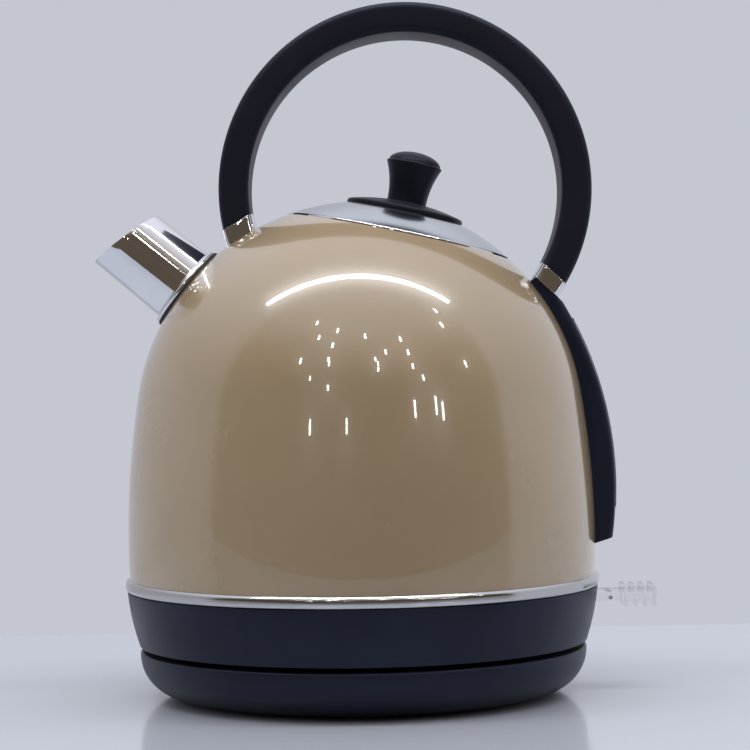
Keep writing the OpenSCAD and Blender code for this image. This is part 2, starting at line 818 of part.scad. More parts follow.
module back_strip() color([0.12, 0.12, 0.14])
    difference() {
        strip_band(0, strip_w, strip_edge, strip_depth);
        jug_solid(0, shell_z0);
        above_face(seat_point(back_collar_h), back_seat_tilt, 60, 90);
        translate([0, 0, strip_z0])
            translate([body_r, 0, 0])
                rotate([0, -strip_end_slope, 0])
                    translate([-60, -40, -60])
                        cube([120, 80, 60]);
        window_slot(window_gap, window_gap);
        // Room for the window's flat seal against the jug
        intersection() {
            jug_solid(seal_t, shell_z0);
            window_slot(seal_w, seal_w);
        }
        // Hollow for the handle's back bracket
        bracket(back_p, 1, bracket_gap);
    }

module water_window() color([0.85, 0.9, 0.92, 0.4])
    difference() {
        intersection() {
            strip_band(window_proud, window_w, 1.2, 26);
            window_slot(0, 0);
        }
        jug_solid(-shell_wall, shell_z0);
        intersection() {
            strip_band(window_proud - window_t, window_w - 2 * window_t, 0.5, 40);
            translate([0, -window_w / 2 + window_t, window_z0 + window_t])
                cube([FAR, window_w - 2 * window_t, window_z1 - window_z0 - 2 * window_t]);
        }
    }

module window_seal() color([0.75, 0.75, 0.73])
    difference() {
        intersection() {
            jug_solid(seal_t, shell_z0);
            window_slot(seal_w, seal_w);
        }
        jug_solid(0, shell_z0);
        window_slot(0, 0);
    }

// ---------- Handle ----------

module loop_band(extra, a0, a1) {
    swing(loop_c, a0, a1)
        translate([loop_r, 0])
            soft_rect(handle_t + 2 * extra, handle_w + 2 * extra, handle_edge + extra);
}

// Steel tongue that stands on the jug, passes through a collar and enters the handle.
// The side is 1 at the back and -1 at the front.
module bracket(p, side, extra) {
    translate([p[0], 0, p[1]])
        rotate([0, 90 - loop_angle(p), 0])
            mirror([side < 0 ? 1 : 0, 0, 0])
                translate([-tongue_in - extra, -tongue_w / 2 - extra, -tongue_t / 2 - extra])
                    cube([tongue_in + tongue_out + extra, tongue_w + 2 * extra, tongue_t + 2 * extra]);
}

// Screw across a tongue, driven from the inside of the loop
module at_loop_screw(p, side) {
    translate([loop_c[0], 0, loop_c[1]])
        rotate([0, -loop_angle(p) - side * loop_screw_a, 0])
            translate([loop_r - handle_t / 2, 0, 0])
                rotate([0, 90, 0])
                    children();
}

module loop_screw_hole(p, side, r_head) {
    at_loop_screw(p, side) {
        translate([0, 0, -1])
            cylinder(r = handle_screw_r, h = handle_t - 0.6);
        translate([0, 0, -1])
            cylinder(r = r_head, h = 1 + handle_sink);
    }
}

module handle_loop() color([0.11, 0.11, 0.13])
    difference() {
        loop_band(0, back_a - end_extra, front_a + end_extra);
        below_face(front_p, -front_foot_a, 40);
        below_face(back_p, back_seat_tilt, 40);
        bracket(front_p, -1, 0);
        bracket(back_p, 1, 0);
        loop_screw_hole(front_p, -1, handle_screw_head + 0.2);
        loop_screw_hole(back_p, 1, handle_screw_head + 0.2);
    }

module front_collar() color([0.88, 0.88, 0.88])
    difference() {
        loop_band(collar_proud, front_a - end_extra, front_a + collar_extra);
        above_face(front_p, -front_foot_a, 40);
        jug_solid(0, shell_z0);
        bracket(front_p, -1, 0);
    }

module back_collar() color([0.88, 0.88, 0.88])
    difference() {
        loop_band(collar_proud, back_a - collar_extra, back_a + end_extra);
        above_face(back_p, back_seat_tilt, 40);
        below_face(seat_point(back_collar_h), back_seat_tilt, 60, 90);
        bracket(back_p, 1, 0);
    }

module handle_brackets() color([0.7, 0.7, 0.72]) {
    difference() {
        bracket(front_p, -1, 0);
        jug_solid(0, shell_z0);
        loop_screw_hole(front_p, -1, handle_screw_r);
    }
    difference() {
        bracket(back_p, 1, 0);
        jug_solid(0, shell_z0);
        loop_screw_hole(back_p, 1, handle_screw_r);
    }
}

module handle_screws() color([0.78, 0.78, 0.8])
    for (end = [[front_p, -1], [back_p, 1]])
        at_loop_screw(end[0], end[1])
            translate([0, 0, handle_sink])
                screw(handle_screw_r, handle_t - 2 - handle_sink, handle_screw_head, handle_head_h);

// ---------- Lid ----------

// The lid's outer dome as a solid, from height h0 in the lid's own frame, shrunk by t
module lid_ball(t, h0) {
    intersection() {
        translate([0, 0, lid_rim_d + lid_dome_h - lid_ball_r])
            sphere(r = lid_ball_r - t, $fn = 180);
        translate([0, 0, lid_rim_d + h0])
            cylinder(r = lid_r - t, h = lid_dome_h + 5);
    }
}

module lid_shell() color([0.8, 0.8, 0.82])
    on_dome(lid_tilt)
        difference() {
            intersection() {
                lid_ball(0, 0);
                translate([0, 0, lid_rim_d])
                    cylinder(r = lid_r - rim_w, h = lid_dome_h + 5);
            }
            intersection() {
                lid_ball(lid_t, -1);
                translate([0, 0, lid_rim_d - 1])
                    cylinder(r = lid_r - rim_w - lid_t, h = lid_dome_h + 5);
            }
            translate([0, 0, lid_rim_d])
                cylinder(r = lid_screw_r, h = 30);
        }

// Rolled bright edge of the lid
module lid_rim() color([0.92, 0.92, 0.92])
    on_dome(lid_tilt)
        translate([0, 0, lid_rim_d])
            rotate_extrude()
                polygon([[lid_r - rim_w, -lid_edge_h], [lid_r - 0.3, -lid_edge_h], [lid_r, -lid_edge_h + 0.3],
                    [lid_r, -0.2], [lid_r - 0.3, 0.25], [lid_r - rim_w, 0.45]]);

module lid_pan() color([0.74, 0.74, 0.74])
    on_dome(lid_tilt)
        translate([0, 0, lid_rim_d])
            difference() {
                rotate_extrude()
                    polygon([[0, -pan_depth], [pan_r, -pan_depth], [pan_r, -lid_edge_h - 0.6],
                        [lid_r - rim_w - 0.1, -lid_edge_h - 0.6], [lid_r - rim_w - 0.1, -lid_edge_h],
                        [pan_r - pan_t, -lid_edge_h], [pan_r - pan_t, -pan_depth + pan_t],
                        [0, -pan_depth + pan_t]]);
                translate([0, 0, -pan_depth - EPS])
                    cylinder(r = lid_screw_r, h = 3);
                around(8, pan_r * 0.7)
                    translate([0, 0, -pan_depth - EPS])
                        cylinder(r = 2, h = 3, $fn = 24);
            }

// Soft ring between the lid and its seat
module lid_seal() color([0.7, 0.7, 0.68])
    on_dome(lid_tilt)
        translate([0, 0, lid_rim_d])
            ring(lid_r - rim_w - 0.3, pan_r, -seat_depth + seal_gap, -lid_edge_h - 0.6);

module knob_disc() color([0.12, 0.12, 0.13])
    on_dome(lid_tilt)
        difference() {
            intersection() {
                translate([0, 0, lid_rim_d + lid_dome_h - lid_ball_r])
                    sphere(r = lid_ball_r + knob_disc_t, $fn = 180);
                translate([0, 0, lid_rim_d])
                    cylinder(r = knob_base_r, h = lid_dome_h + 5);
            }
            lid_ball(0, -1);
            translate([0, 0, lid_rim_d])
                cylinder(r = lid_screw_r, h = 30);
        }

// Knob that flares up to a domed head
module lid_knob() color([0.12, 0.12, 0.13])
    on_dome(lid_tilt)
        translate([0, 0, lid_rim_d])
            difference() {
                foot_h = lid_dome_h + knob_disc_t - 0.6;
                rotate_extrude()
                    polygon(concat(
                        [[0, foot_h], [knob_stem_r, foot_h]],
                        [for (i = [1 : 9])
                            let (s = i / 10, h = foot_h + (knob_h - foot_h) * s)
                            [knob_stem_r + (knob_r - knob_stem_r) * pow(s, 2.2), h]],
                        [[knob_r, knob_h - 0.6], [knob_r, knob_h]],
                        [for (a = [75 : -15 : 0]) [(knob_r - 0.4) * sin(a), knob_h + knob_dome * cos(a)]]));
                translate([0, 0, foot_h - EPS])
                    cylinder(r = lid_screw_r, h = 11.6);
                translate([0, 0, lid_dome_h - lid_ball_r])
                    sphere(r = lid_ball_r + knob_disc_t, $fn = 180);
            }

module knob_screw() color([0.78, 0.78, 0.8])
    on_dome(lid_tilt)
        translate([0, 0, lid_rim_d]) {
            translate([0, 0, -pan_depth - 2])
                cylinder(r = 4, h = 2);
            translate([0, 0, -pan_depth - EPS])
                cylinder(r = lid_screw_r, h = pan_depth + lid_dome_h + knob_disc_t + 9);
        }

// ---------- The assembly ----------

base_housing();
base_plate();
base_socket();
socket_contacts();
rubber_feet();
base_screws();
cord_gland();
plug_body();
plug_contacts();
body_shell();
mouth_ring();
spout();
spout_flange();
spout_filter();
trim_ring();
foot_skirt();
bottom_cover();
cover_screws();
jug_floor();
heat_spreader();
heating_element();
control_unit();
steam_tube();
steam_switch();
bimetal_disc();
switch_leads();
indicator_lamp();
switch_bracket();
switch_pin();
switch_lever();
back_strip();
water_window();
window_seal();
handle_loop();
front_collar();
back_collar();
handle_brackets();
handle_screws();
lid_shell();
lid_rim();
lid_pan();
lid_seal();
knob_disc();
lid_knob();
knob_screw();
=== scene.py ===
# %% [markdown]
# # An electric kettle, dressed for the camera
# The working kettle comes from its CAD frame: every sub-part has its true size and place there.
# This lesson loads that frame, which is never moved, and builds the pieces that are seen around it:
# a painted steel jug, a bright spout, a loop handle, a steel lid, a clear lever and a moulded base.
# Each piece then rides on the CAD body that it belongs to, so that it moves as the real one does.

# %% Load the frame
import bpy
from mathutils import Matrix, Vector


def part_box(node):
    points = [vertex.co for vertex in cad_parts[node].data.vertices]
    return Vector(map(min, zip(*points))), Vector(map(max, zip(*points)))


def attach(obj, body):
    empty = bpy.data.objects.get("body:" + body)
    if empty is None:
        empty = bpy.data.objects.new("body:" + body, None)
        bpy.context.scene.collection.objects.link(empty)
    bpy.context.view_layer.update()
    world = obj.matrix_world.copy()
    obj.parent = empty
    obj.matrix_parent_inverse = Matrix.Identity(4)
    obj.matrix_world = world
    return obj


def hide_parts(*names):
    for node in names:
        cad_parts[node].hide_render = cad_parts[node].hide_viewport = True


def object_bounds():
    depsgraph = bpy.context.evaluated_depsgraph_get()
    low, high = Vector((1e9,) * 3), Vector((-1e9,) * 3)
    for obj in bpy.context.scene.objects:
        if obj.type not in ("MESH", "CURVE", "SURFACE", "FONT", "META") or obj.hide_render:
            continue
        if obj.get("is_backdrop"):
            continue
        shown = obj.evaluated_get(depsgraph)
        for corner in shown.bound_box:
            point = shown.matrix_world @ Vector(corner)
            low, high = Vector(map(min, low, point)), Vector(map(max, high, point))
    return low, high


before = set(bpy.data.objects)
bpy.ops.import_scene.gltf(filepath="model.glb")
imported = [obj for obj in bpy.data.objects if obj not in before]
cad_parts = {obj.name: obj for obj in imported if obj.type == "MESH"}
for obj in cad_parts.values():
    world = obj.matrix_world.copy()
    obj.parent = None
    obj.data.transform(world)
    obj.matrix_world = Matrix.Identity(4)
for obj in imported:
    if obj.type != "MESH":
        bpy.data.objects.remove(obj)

cad_low, cad_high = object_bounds()
print("the kettle's box is", [round(1000 * s, 1) for s in cad_high - cad_low], "mm")

# %% [markdown]
# ## The drawing's sizes
# A maker copies the main sizes off the drawing before touching a tool.
# What the frame can tell is measured on it, and the few values that a box can't tell, such as the
# centre of the dome or the slope of a seat, are written here once. Every piece below uses them.

# %% Sizes of the jug and its foot
import bmesh
import bpy
import math
import random
from mathutils import Matrix, Vector

MM = 0.001
TINY = 0.001 * MM
shell_low, shell_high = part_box("body_shell")
skirt_z0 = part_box("foot_skirt")[0].z
base_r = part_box("base_housing")[1].x
body_r = shell_high.y
jug_z0 = shell_low.z
wall = 0.8 * MM
belly_bulge = 3.4 * MM
belly_z = jug_z0 + 18 * MM
dome_z = jug_z0 + 58.6 * MM
dome_r = body_r - belly_bulge
belly_h = dome_z - belly_z
belly_arc = (body_r ** 2 - dome_r ** 2 + belly_h ** 2) / (2 * belly_bulge)
blend_angle = math.asin(belly_h / (belly_arc - dome_r))
print("jug radius", round(body_r / MM, 2), "dome radius", round(dome_r / MM, 2), "mm")

# %% Sizes of the lid and the spout
lid_tilt = math.radians(12.6)
lid_r = 41.6 * MM
lid_rise = 11.9 * MM
mouth_r = lid_r + 0.4 * MM
lid_up = math.sqrt(dome_r ** 2 - lid_r ** 2)
lid_ball_r = (lid_r ** 2 + lid_rise ** 2) / (2 * lid_rise)
spout_tilt = math.radians(39.5 - 90)
spout_r = 14.5 * MM
spout_mouth_r = 13.8 * MM
spout_length = 31.6 * MM
spout_end = dome_r + spout_length
spout_wall = 0.9 * MM
spout_slant = math.radians(15)
print("the lid is a cap of a ball of radius", round(lid_ball_r / MM, 1), "mm")

# %% Sizes of the handle and the strip behind it
handle_t = 11 * MM
handle_w = 26 * MM
handle_edge = 2.4 * MM
front_lean = math.radians(-30.2)
back_lean = math.radians(52.6)
seat_lean = math.radians(43)
collar_h = 5.5 * MM
strip_t = 26 * MM


def on_dome(lean, radius):
    """A point at a lean from the top of the dome, in the plane through spout and handle."""
    return Vector((radius * math.sin(lean), 0, dome_z + radius * math.cos(lean)))


front_foot = on_dome(front_lean, dome_r + 4.5 * MM)
back_foot = on_dome(back_lean, dome_r + 7.7 * MM)
feet = back_foot - front_foot
loop_rise = 84.1 * MM
loop_r = (feet.length ** 2 / 4 + loop_rise ** 2) / (2 * loop_rise)
feet_up = Vector((-feet.z, 0, feet.x)).normalized()
loop_centre = (front_foot + back_foot) / 2 + feet_up * (loop_rise - loop_r)
seat_normal = Vector((math.sin(seat_lean), 0, math.cos(seat_lean)))
seat_along = Vector((math.cos(seat_lean), 0, -math.sin(seat_lean)))
seat_point = back_foot - seat_normal * collar_h
strip_r = body_r + 7 * MM
strip_z = dome_z - 22.6 * MM
strip_top = seat_point + seat_along * (handle_t / 2 + 3.9 * MM)
strip_in = strip_r - strip_top.x
strip_arc = (strip_in ** 2 + (strip_top.z - strip_z) ** 2) / (2 * strip_in)
strip_centre = Vector((strip_r - strip_arc, 0, strip_z))


def loop_angle(point):
    """The angle of a point on the handle's circle, from +X towards +Z, from 0 to a full turn."""
    return math.atan2(point.z - loop_centre.z, point.x - loop_centre.x) % (2 * math.pi)


front_angle = loop_angle(front_foot)
back_angle = loop_angle(back_foot) - (2 * math.pi if loop_angle(back_foot) > math.pi else 0)
print("the loop's middle line has a radius of", round(loop_r / MM, 1), "mm")

# %% [markdown]
# ## The camera
# The kettle is seen from its side, from a little under a metre away and from low down, so the rings
# of its foot show as flat curves. The lens is a short telephoto, and the camera is rolled by less
# than a degree. It is made first, because the other steps are judged through it.

# %% Set up the camera
scene = bpy.context.scene
camera_data = bpy.data.cameras.new("camera")
camera_data.lens = 111
camera_data.sensor_width = 36
camera_data.clip_end = 20
camera = bpy.data.objects.new("camera", camera_data)
scene.collection.objects.link(camera)
camera_spot = Matrix.Translation((5.7 * MM, -850 * MM, 120 * MM))
camera_pitch = Matrix.Rotation(math.radians(90 - 0.25), 4, "X")
camera_roll = Matrix.Rotation(math.radians(-0.9), 4, "Z")
camera.matrix_world = camera_spot @ camera_pitch @ camera_roll
scene.camera = camera
scene.view_settings.view_transform = "Standard"
print("camera at", [round(c, 3) for c in camera.location])

# %% [markdown]
# ## Helpers for modelling by hand
# These few moves are used again and again. A new primitive comes selected all over, and so do the
# loaded CAD nodes, so everything is deselected before a primitive is added. In edit mode, vertices,
# edges and faces are then picked by a test on where they are, as a hand would click them.


# %% Start, pick and place
def fresh():
    """Leaves edit mode and deselects every object."""
    if bpy.context.object and bpy.context.object.mode == "EDIT":
        bpy.ops.object.mode_set(mode="OBJECT")
    bpy.ops.object.select_all(action="DESELECT")


def only(piece):
    """Makes one object the selected and active one."""
    fresh()
    piece.select_set(True)
    bpy.context.view_layer.objects.active = piece


def edit(piece, mode="VERT"):
    """Opens a piece in edit mode, with nothing selected."""
    only(piece)
    bpy.ops.object.mode_set(mode="EDIT")
    bpy.ops.mesh.select_mode(type=mode)
    bpy.ops.mesh.select_all(action="DESELECT")


def pick(piece, kind, test):
    """Selects the vertices, edges or faces that pass a test, and says how many."""
    mesh = bmesh.from_edit_mesh(piece.data)
    chosen = [e for e in getattr(mesh, kind) if test(e)]
    for element in chosen:
        element.select_set(True)
    mesh.select_flush_mode()
    bmesh.update_edit_mesh(piece.data)
    return len(chosen)


def middle(element):
    """The middle of an edge or a face."""
    return sum((v.co for v in element.verts), Vector()) / len(element.verts)


def put(piece, spot, angles):
    """Moves a piece to a spot, turns it there, and applies the move to its mesh."""
    only(piece)
    piece.location = spot
    piece.rotation_euler = angles
    bpy.ops.object.transform_apply(location=True, rotation=True, scale=True)


def face_outwards(piece):
    """Merges doubled vertices, then turns every face of a piece outwards."""
    edit(piece)
    bpy.ops.mesh.select_all(action="SELECT")
    bpy.ops.mesh.remove_doubles(threshold=TINY)
    bpy.ops.mesh.normals_make_consistent(inside=False)
    fresh()


# %% [markdown]
# A round piece is turned, as on a lathe: half of its section is drawn as a chain of points, by
# extruding one vertex after another, and the chain is spun round the vertical axis. A ring is a
# closed chain. A cap starts or ends its chain on the axis, where the merge closes its pole.


# %% Turn a section on the lathe
def turn(name, section, steps=128, ring=False):
    """Draws a section of (radius, height) points and spins it round the vertical axis."""
    fresh()
    bpy.ops.mesh.primitive_circle_add(vertices=3, radius=MM, location=(0, 0, 0))
    piece = bpy.context.object
    piece.name = piece.data.name = name
    edit(piece)
    bpy.ops.mesh.select_all(action="SELECT")
    bpy.ops.mesh.merge(type="CENTER")
    points = [Vector((r, 0, z)) for r, z in section]
    bpy.ops.transform.translate(value=points[0])
    for here, there in zip(points, points[1:]):
        bpy.ops.mesh.extrude_vertices_move(TRANSFORM_OT_translate={"value": there - here})
    if ring:
        ends = (points[0], points[-1])
        pick(piece, "verts", lambda v: min((v.co - e).length for e in ends) < TINY)
        bpy.ops.mesh.edge_face_add()
    bpy.ops.mesh.select_all(action="SELECT")
    bpy.ops.mesh.spin(steps=steps, angle=2 * math.pi, center=(0, 0, 0), axis=(0, 0, 1))
    face_outwards(piece)
    return piece


def rod(name, radius, low, high, steps=128):
    """A round bar along the vertical axis, to cut or to join with."""
    return turn(name, [(0, low), (radius, low), (radius, high), (0, high)], steps=steps)


def arc(centre, radius, first, last, count):
    """Points of (radius, height) along an arc, with its angles in degrees from the horizontal."""
    spread = [math.radians(first + (last - first) * i / count) for i in range(count + 1)]
    return [(centre[0] + radius * math.cos(a), centre[1] + radius * math.sin(a)) for a in spread]


print("a quarter circle in two steps:", arc((0, 0), 1, 0, 90, 2))

# %% [markdown]
# The lid and the spout lean over the dome. They are turned upright, then leant as whole objects,
# and the lean is applied to the mesh, so that the finished object stands at the origin, unturned.


# %% Place a piece on the dome, and cut one piece with another
def lean_on_dome(piece, lean):
    """Turns a piece about the dome's centre, from upright to its lean, and applies the move."""
    put(piece, (0, 0, dome_z), (0, lean, 0))


def cut(piece, tool, operation="DIFFERENCE"):
    """Cuts a piece with a tool, or joins or trims it, and throws the tool away."""
    only(piece)
    bpy.ops.object.modifier_add(type="BOOLEAN")
    change = piece.modifiers[-1]
    change.object = tool
    change.operation = operation
    change.solver = "EXACT"
    bpy.ops.object.modifier_apply(modifier=change.name)
    bpy.data.objects.remove(tool)


def soften(piece, width, segments=3, sharper_than=35):
    """Rounds every edge that is sharper than an angle."""
    only(piece)
    bpy.ops.object.modifier_add(type="BEVEL")
    bevel = piece.modifiers[-1]
    bevel.width = width
    bevel.segments = segments
    bevel.limit_method = "ANGLE"
    bevel.angle_limit = math.radians(sharper_than)
    bevel.use_clamp_overlap = True
    bevel.miter_outer = "MITER_ARC"
    bpy.ops.object.modifier_apply(modifier=bevel.name)


def box_tool(low, high):
    """A plain block between two corners, to cut with."""
    fresh()
    low, high = Vector(low), Vector(high)
    bpy.ops.mesh.primitive_cube_add(size=1, location=(low + high) / 2, scale=high - low)
    bpy.ops.object.transform_apply(location=True, rotation=True, scale=True)
    return bpy.context.object


def dome_tool():
    """A fine ball of the dome's size, to fit a foot to the dome."""
    fresh()
    bpy.ops.mesh.primitive_uv_sphere_add(segments=256, ring_count=128, radius=dome_r,
                                         location=(0, 0, dome_z))
    bpy.ops.object.transform_apply(location=True, rotation=True, scale=True)
    return bpy.context.object


print("the lid's axis leans", round(math.degrees(lid_tilt), 1), "degrees from upright")

# %% [markdown]
# The handle, its collars and the strip behind the jug are bars that follow an arc. A flat section
# with rounded corners is drawn and spun round a level axis through the arc's centre.


# %% Bend a bar along an arc
def bend_bar(name, centre, radius, thick, width, edge, first, last, steps):
    """A bar with a rounded section, between two angles of an arc round a point."""
    fresh()
    bpy.ops.mesh.primitive_plane_add(size=1, location=(0, 0, 0))
    bar = bpy.context.object
    bar.name = bar.data.name = name
    edit(bar)
    bpy.ops.mesh.select_all(action="SELECT")
    bpy.ops.transform.resize(value=(thick, width, 1), center_override=(0, 0, 0))
    bpy.ops.mesh.bevel(offset=edge, segments=8, affect="VERTICES", clamp_overlap=False)
    bpy.ops.mesh.select_all(action="SELECT")
    bpy.ops.transform.translate(value=(radius, 0, 0))
    bpy.ops.mesh.spin(steps=steps, angle=last - first, center=(0, 0, 0), axis=(0, 1, 0))
    face_outwards(bar)
    put(bar, centre, (0, -first, 0))
    return bar


def trim_end(bar, point, normal, near):
    """Cuts a bar's end on a plane and closes it, among the faces that pass the test."""
    edit(bar, "FACE")
    pick(bar, "faces", lambda f: near(middle(f)))
    bpy.ops.mesh.bisect(plane_co=point, plane_no=normal, use_fill=True, clear_outer=True)
    face_outwards(bar)


print("the loop follows", round(math.degrees(front_angle - back_angle)), "degrees of its circle")

# %% [markdown]
# A finished piece is shaded smooth except at its sharp edges, gets its material, rides on a CAD
# body and stands for the CAD nodes that it replaces. The print tells how heavy its mesh is.


# %% Hand a finished piece to the frame
def finish(piece, material, slot, body, *stands_for, smooth_below=35):
    """Shades a piece, dresses it and hands it to the frame."""
    only(piece)
    bpy.ops.object.shade_smooth_by_angle(angle=math.radians(smooth_below))
    if not piece.data.materials:
        piece.data.materials.append(material)
    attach(piece, body)
    if stands_for:
        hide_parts(*stands_for)
    triangles = sum(len(p.vertices) - 2 for p in piece.data.polygons)
    print(piece.name, "rides on", body, "with", triangles, "triangles")


# %% [markdown]
# Room, effects and materials are all node trees. Two steps turn up in each of them: a sum on
# values, and a smooth change from one range of a value to another.


# %% Reckon in a node tree
def sum_up(tree, operation, *values):
    """A math node on numbers or sockets."""
    node = tree.nodes.new("ShaderNodeMath")
    node.operation = operation
    for socket, value in zip(node.inputs, values):
        if isinstance(value, (int, float)):
            socket.default_value = value
        else:
            tree.links.new(value, socket)
    return node.outputs[0]


def remap(tree, value, low, high, start, end):
    """Maps one range of a value smoothly onto another."""
    node = tree.nodes.new("ShaderNodeMapRange")
    node.interpolation_type = "SMOOTHSTEP"
    for index, number in enumerate((low, high, start, end)):
        node.inputs[index + 1].default_value = number
    tree.links.new(value, node.inputs[0])
    return node.outputs[0]


print("helpers for node trees:", sum_up.__name__, remap.__name__)

# %% [markdown]
# ## The table, the air and the lamps
# The kettle stands on a pale table that ends a hand's width behind it, with a plain pale wall far
# behind. The wall is the world's colour, so no wall stands in the way of a view from the back.
# What a glossy pot shows is the room: bright walls beside and behind it, a dimmer room in front,
# and a long lamp overhead that draws a bright arc on the dome. Small far lamps, seen in the gloss
# only, give the sparks on its side.

# %% Lay the table
table_back = 200 * MM
table_front = -430 * MM
table_half = 2200 * MM
table_thick = 30 * MM
table = box_tool((-table_half, table_front, -table_thick), (table_half, table_back, 0))
table.name = table.data.name = "table"
soften(table, 2 * MM)
table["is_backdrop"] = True
table_look = bpy.data.materials.new("table_top")
table_look.use_nodes = True
table_shader = table_look.node_tree.nodes["Principled BSDF"]
table_shader.inputs["Base Color"].default_value = (0.54, 0.57, 0.64, 1)
table_shader.inputs["Roughness"].default_value = 0.13
table.data.materials.append(table_look)
print("the table ends", round(table_back / MM), "mm behind the kettle's axis")

# %% Mix the room's light from its directions
world = bpy.data.worlds.new("room")
scene.world = world
world.use_nodes = True
air = world.node_tree
air.nodes.clear()


def air_node(kind, **settings):
    """Adds a node to the room's tree."""
    node = air.nodes.new(kind)
    for key, value in settings.items():
        setattr(node, key, value)
    return node


overhead_light = 1.05
dim_light = 0.11
direction = air_node("ShaderNodeTexCoord").outputs["Generated"]
split = air_node("ShaderNodeSeparateXYZ")
air.links.new(direction, split.inputs[0])
in_front = remap(air, split.outputs["Y"], -0.29, -0.19, 1, 0)
below_lamps = remap(air, split.outputs["Z"], 0.34, 0.95, 1, 0)
dim_part = sum_up(air, "MULTIPLY", in_front, below_lamps)
walls = remap(air, split.outputs["X"], -0.6, 0.6, 0.50, 0.66)
above = remap(air, split.outputs["Z"], 0.30, 0.9, 0, 1)
bright_part = air_node("ShaderNodeMix")
air.links.new(above, bright_part.inputs["Factor"])
air.links.new(walls, bright_part.inputs["A"])
bright_part.inputs["B"].default_value = overhead_light
room_light = air_node("ShaderNodeMix")
air.links.new(dim_part, room_light.inputs["Factor"])
air.links.new(bright_part.outputs["Result"], room_light.inputs["A"])
room_light.inputs["B"].default_value = dim_light
room_colour = air_node("ShaderNodeMix", data_type="RGBA")
room_colour.inputs["A"].default_value = (0.93, 0.96, 1.06, 1)
room_colour.inputs["B"].default_value = (1.0, 0.78, 0.58, 1)
air.links.new(dim_part, room_colour.inputs["Factor"])
print("the room has", len(air.nodes), "nodes so far")

# %% Show the wall to the camera and the room to the kettle
room = air_node("ShaderNodeBackground")
air.links.new(room_light.outputs["Result"], room.inputs["Strength"])
air.links.new(room_colour.outputs["Result"], room.inputs["Color"])
wall_colour = air_node("ShaderNodeBackground")
wall_colour.inputs["Color"].default_value = (0.552, 0.571, 0.631, 1)
seen = air_node("ShaderNodeMixShader")
air.links.new(air_node("ShaderNodeLightPath").outputs["Is Camera Ray"], seen.inputs["Fac"])
air.links.new(room.outputs[0], seen.inputs[1])
air.links.new(wall_colour.outputs[0], seen.inputs[2])
air.links.new(seen.outputs[0], air_node("ShaderNodeOutputWorld").inputs["Surface"])
print("the finished room has", len(air.nodes), "nodes and", len(air.links), "links")


# %% Hang the lamps
def lamp(name, spot, target, width, height, watts, seen_in_gloss=True, seen_as_light=True):
    """A flat lamp at a spot, facing a target. It can be kept out of the gloss, or only be in it."""
    data = bpy.data.lights.new(name, "AREA")
    data.shape = "RECTANGLE"
    data.size, data.size_y = width, height
    data.energy = watts
    light = bpy.data.objects.new(name, data)
    light.visible_glossy = seen_in_gloss
    light.visible_diffuse = seen_as_light
    scene.collection.objects.link(light)
    light.location = spot
    light.rotation_euler = (Vector(target) - Vector(spot)).to_track_quat("-Z", "Y").to_euler()


kettle_middle = (0, 0, 120 * MM)
lamp("tube_overhead", (0, -0.20, 1.15), (0, -0.20, 0), 1.56, 0.05, 7)
lamp("soft_left", (-1.5, -0.5, 0.75), kettle_middle, 0.9, 1.1, 3, seen_in_gloss=False)
lamp("soft_right", (1.5, -0.3, 0.8), kettle_middle, 0.7, 1.1, 2.5, seen_in_gloss=False)
draw = random.Random(11)
spark_count = 26
for number in range(spark_count):
    side = math.radians(draw.uniform(-34, 62))
    rise = math.radians(draw.uniform(12, 54))
    far = draw.uniform(2.6, 3.4)
    flat = far * math.cos(rise)
    spot = (flat * math.sin(side), -flat * math.cos(side), far * math.sin(rise))
    lamp(f"ceiling_spot_{number}", spot, kettle_middle, 0.05, 0.13, 0.5, seen_as_light=False)

# %% [markdown]
# ## Shared effects
# Real surfaces share their habits: moulded plastic has a fine grain, gloss picks up faint smears,
# turned steel keeps its tool's rings and flat tops gather dust. Edges are painted lighter, as a
# painted highlight mixed with rub wear. Each effect is a node group with named inputs, built once
# and placed in every material that needs it. A group gives out only masks, heights and roughness
# values, and the shader stays in the material.


# %% Start a node group
def new_effect(name, inputs, outputs):
    """An empty effect group. Returns its tree, its inputs and its outputs."""
    tree = bpy.data.node_groups.new(name, "ShaderNodeTree")
    for label, value in inputs.items():
        kind = "NodeSocketVector" if value is None else "NodeSocketFloat"
        socket = tree.interface.new_socket(name=label, in_out="INPUT", socket_type=kind)
        if value is not None:
            socket.default_value = value
    for label in outputs:
        tree.interface.new_socket(name=label, in_out="OUTPUT", socket_type="NodeSocketFloat")
    inside, outside = (tree.nodes.new("NodeGroup" + end) for end in ("Input", "Output"))
    return tree, inside.outputs, outside.inputs


def noise(tree, vector, scale, detail=3):
    """A noise texture in a tree. The scale is a number or a socket."""
    node = tree.nodes.new("ShaderNodeTexNoise")
    node.inputs["Detail"].default_value = detail
    tree.links.new(vector, node.inputs["Vector"])
    if isinstance(scale, (int, float)):
        node.inputs["Scale"].default_value = scale
    else:
        tree.links.new(scale, node.inputs["Scale"])
    return node.outputs["Fac"]


print("helpers for effects:", new_effect.__name__, noise.__name__)

# %% Grain of moulded plastic, and faint smears on gloss
grain, grain_in, grain_out = new_effect("moulded_grain", {"Vector": None, "Scale": 2600.0},
                                        ["Height", "Mottle"])
fine = noise(grain, grain_in["Vector"], grain_in["Scale"], 2)
grain.links.new(fine, grain_out["Height"])
grain.links.new(noise(grain, grain_in["Vector"], 38.0), grain_out["Mottle"])

smears, smears_in, smears_out = new_effect(
    "smears", {"Vector": None, "Scale": 26.0, "Base": 0.1, "Spread": 0.05}, ["Roughness"])
patches = remap(smears, noise(smears, smears_in["Vector"], smears_in["Scale"], 5), 0.38, 0.72, 0, 1)
spread = sum_up(smears, "MULTIPLY", patches, smears_in["Spread"])
smears.links.new(sum_up(smears, "ADD", smears_in["Base"], spread), smears_out["Roughness"])
print("effects:", grain.name, smears.name)

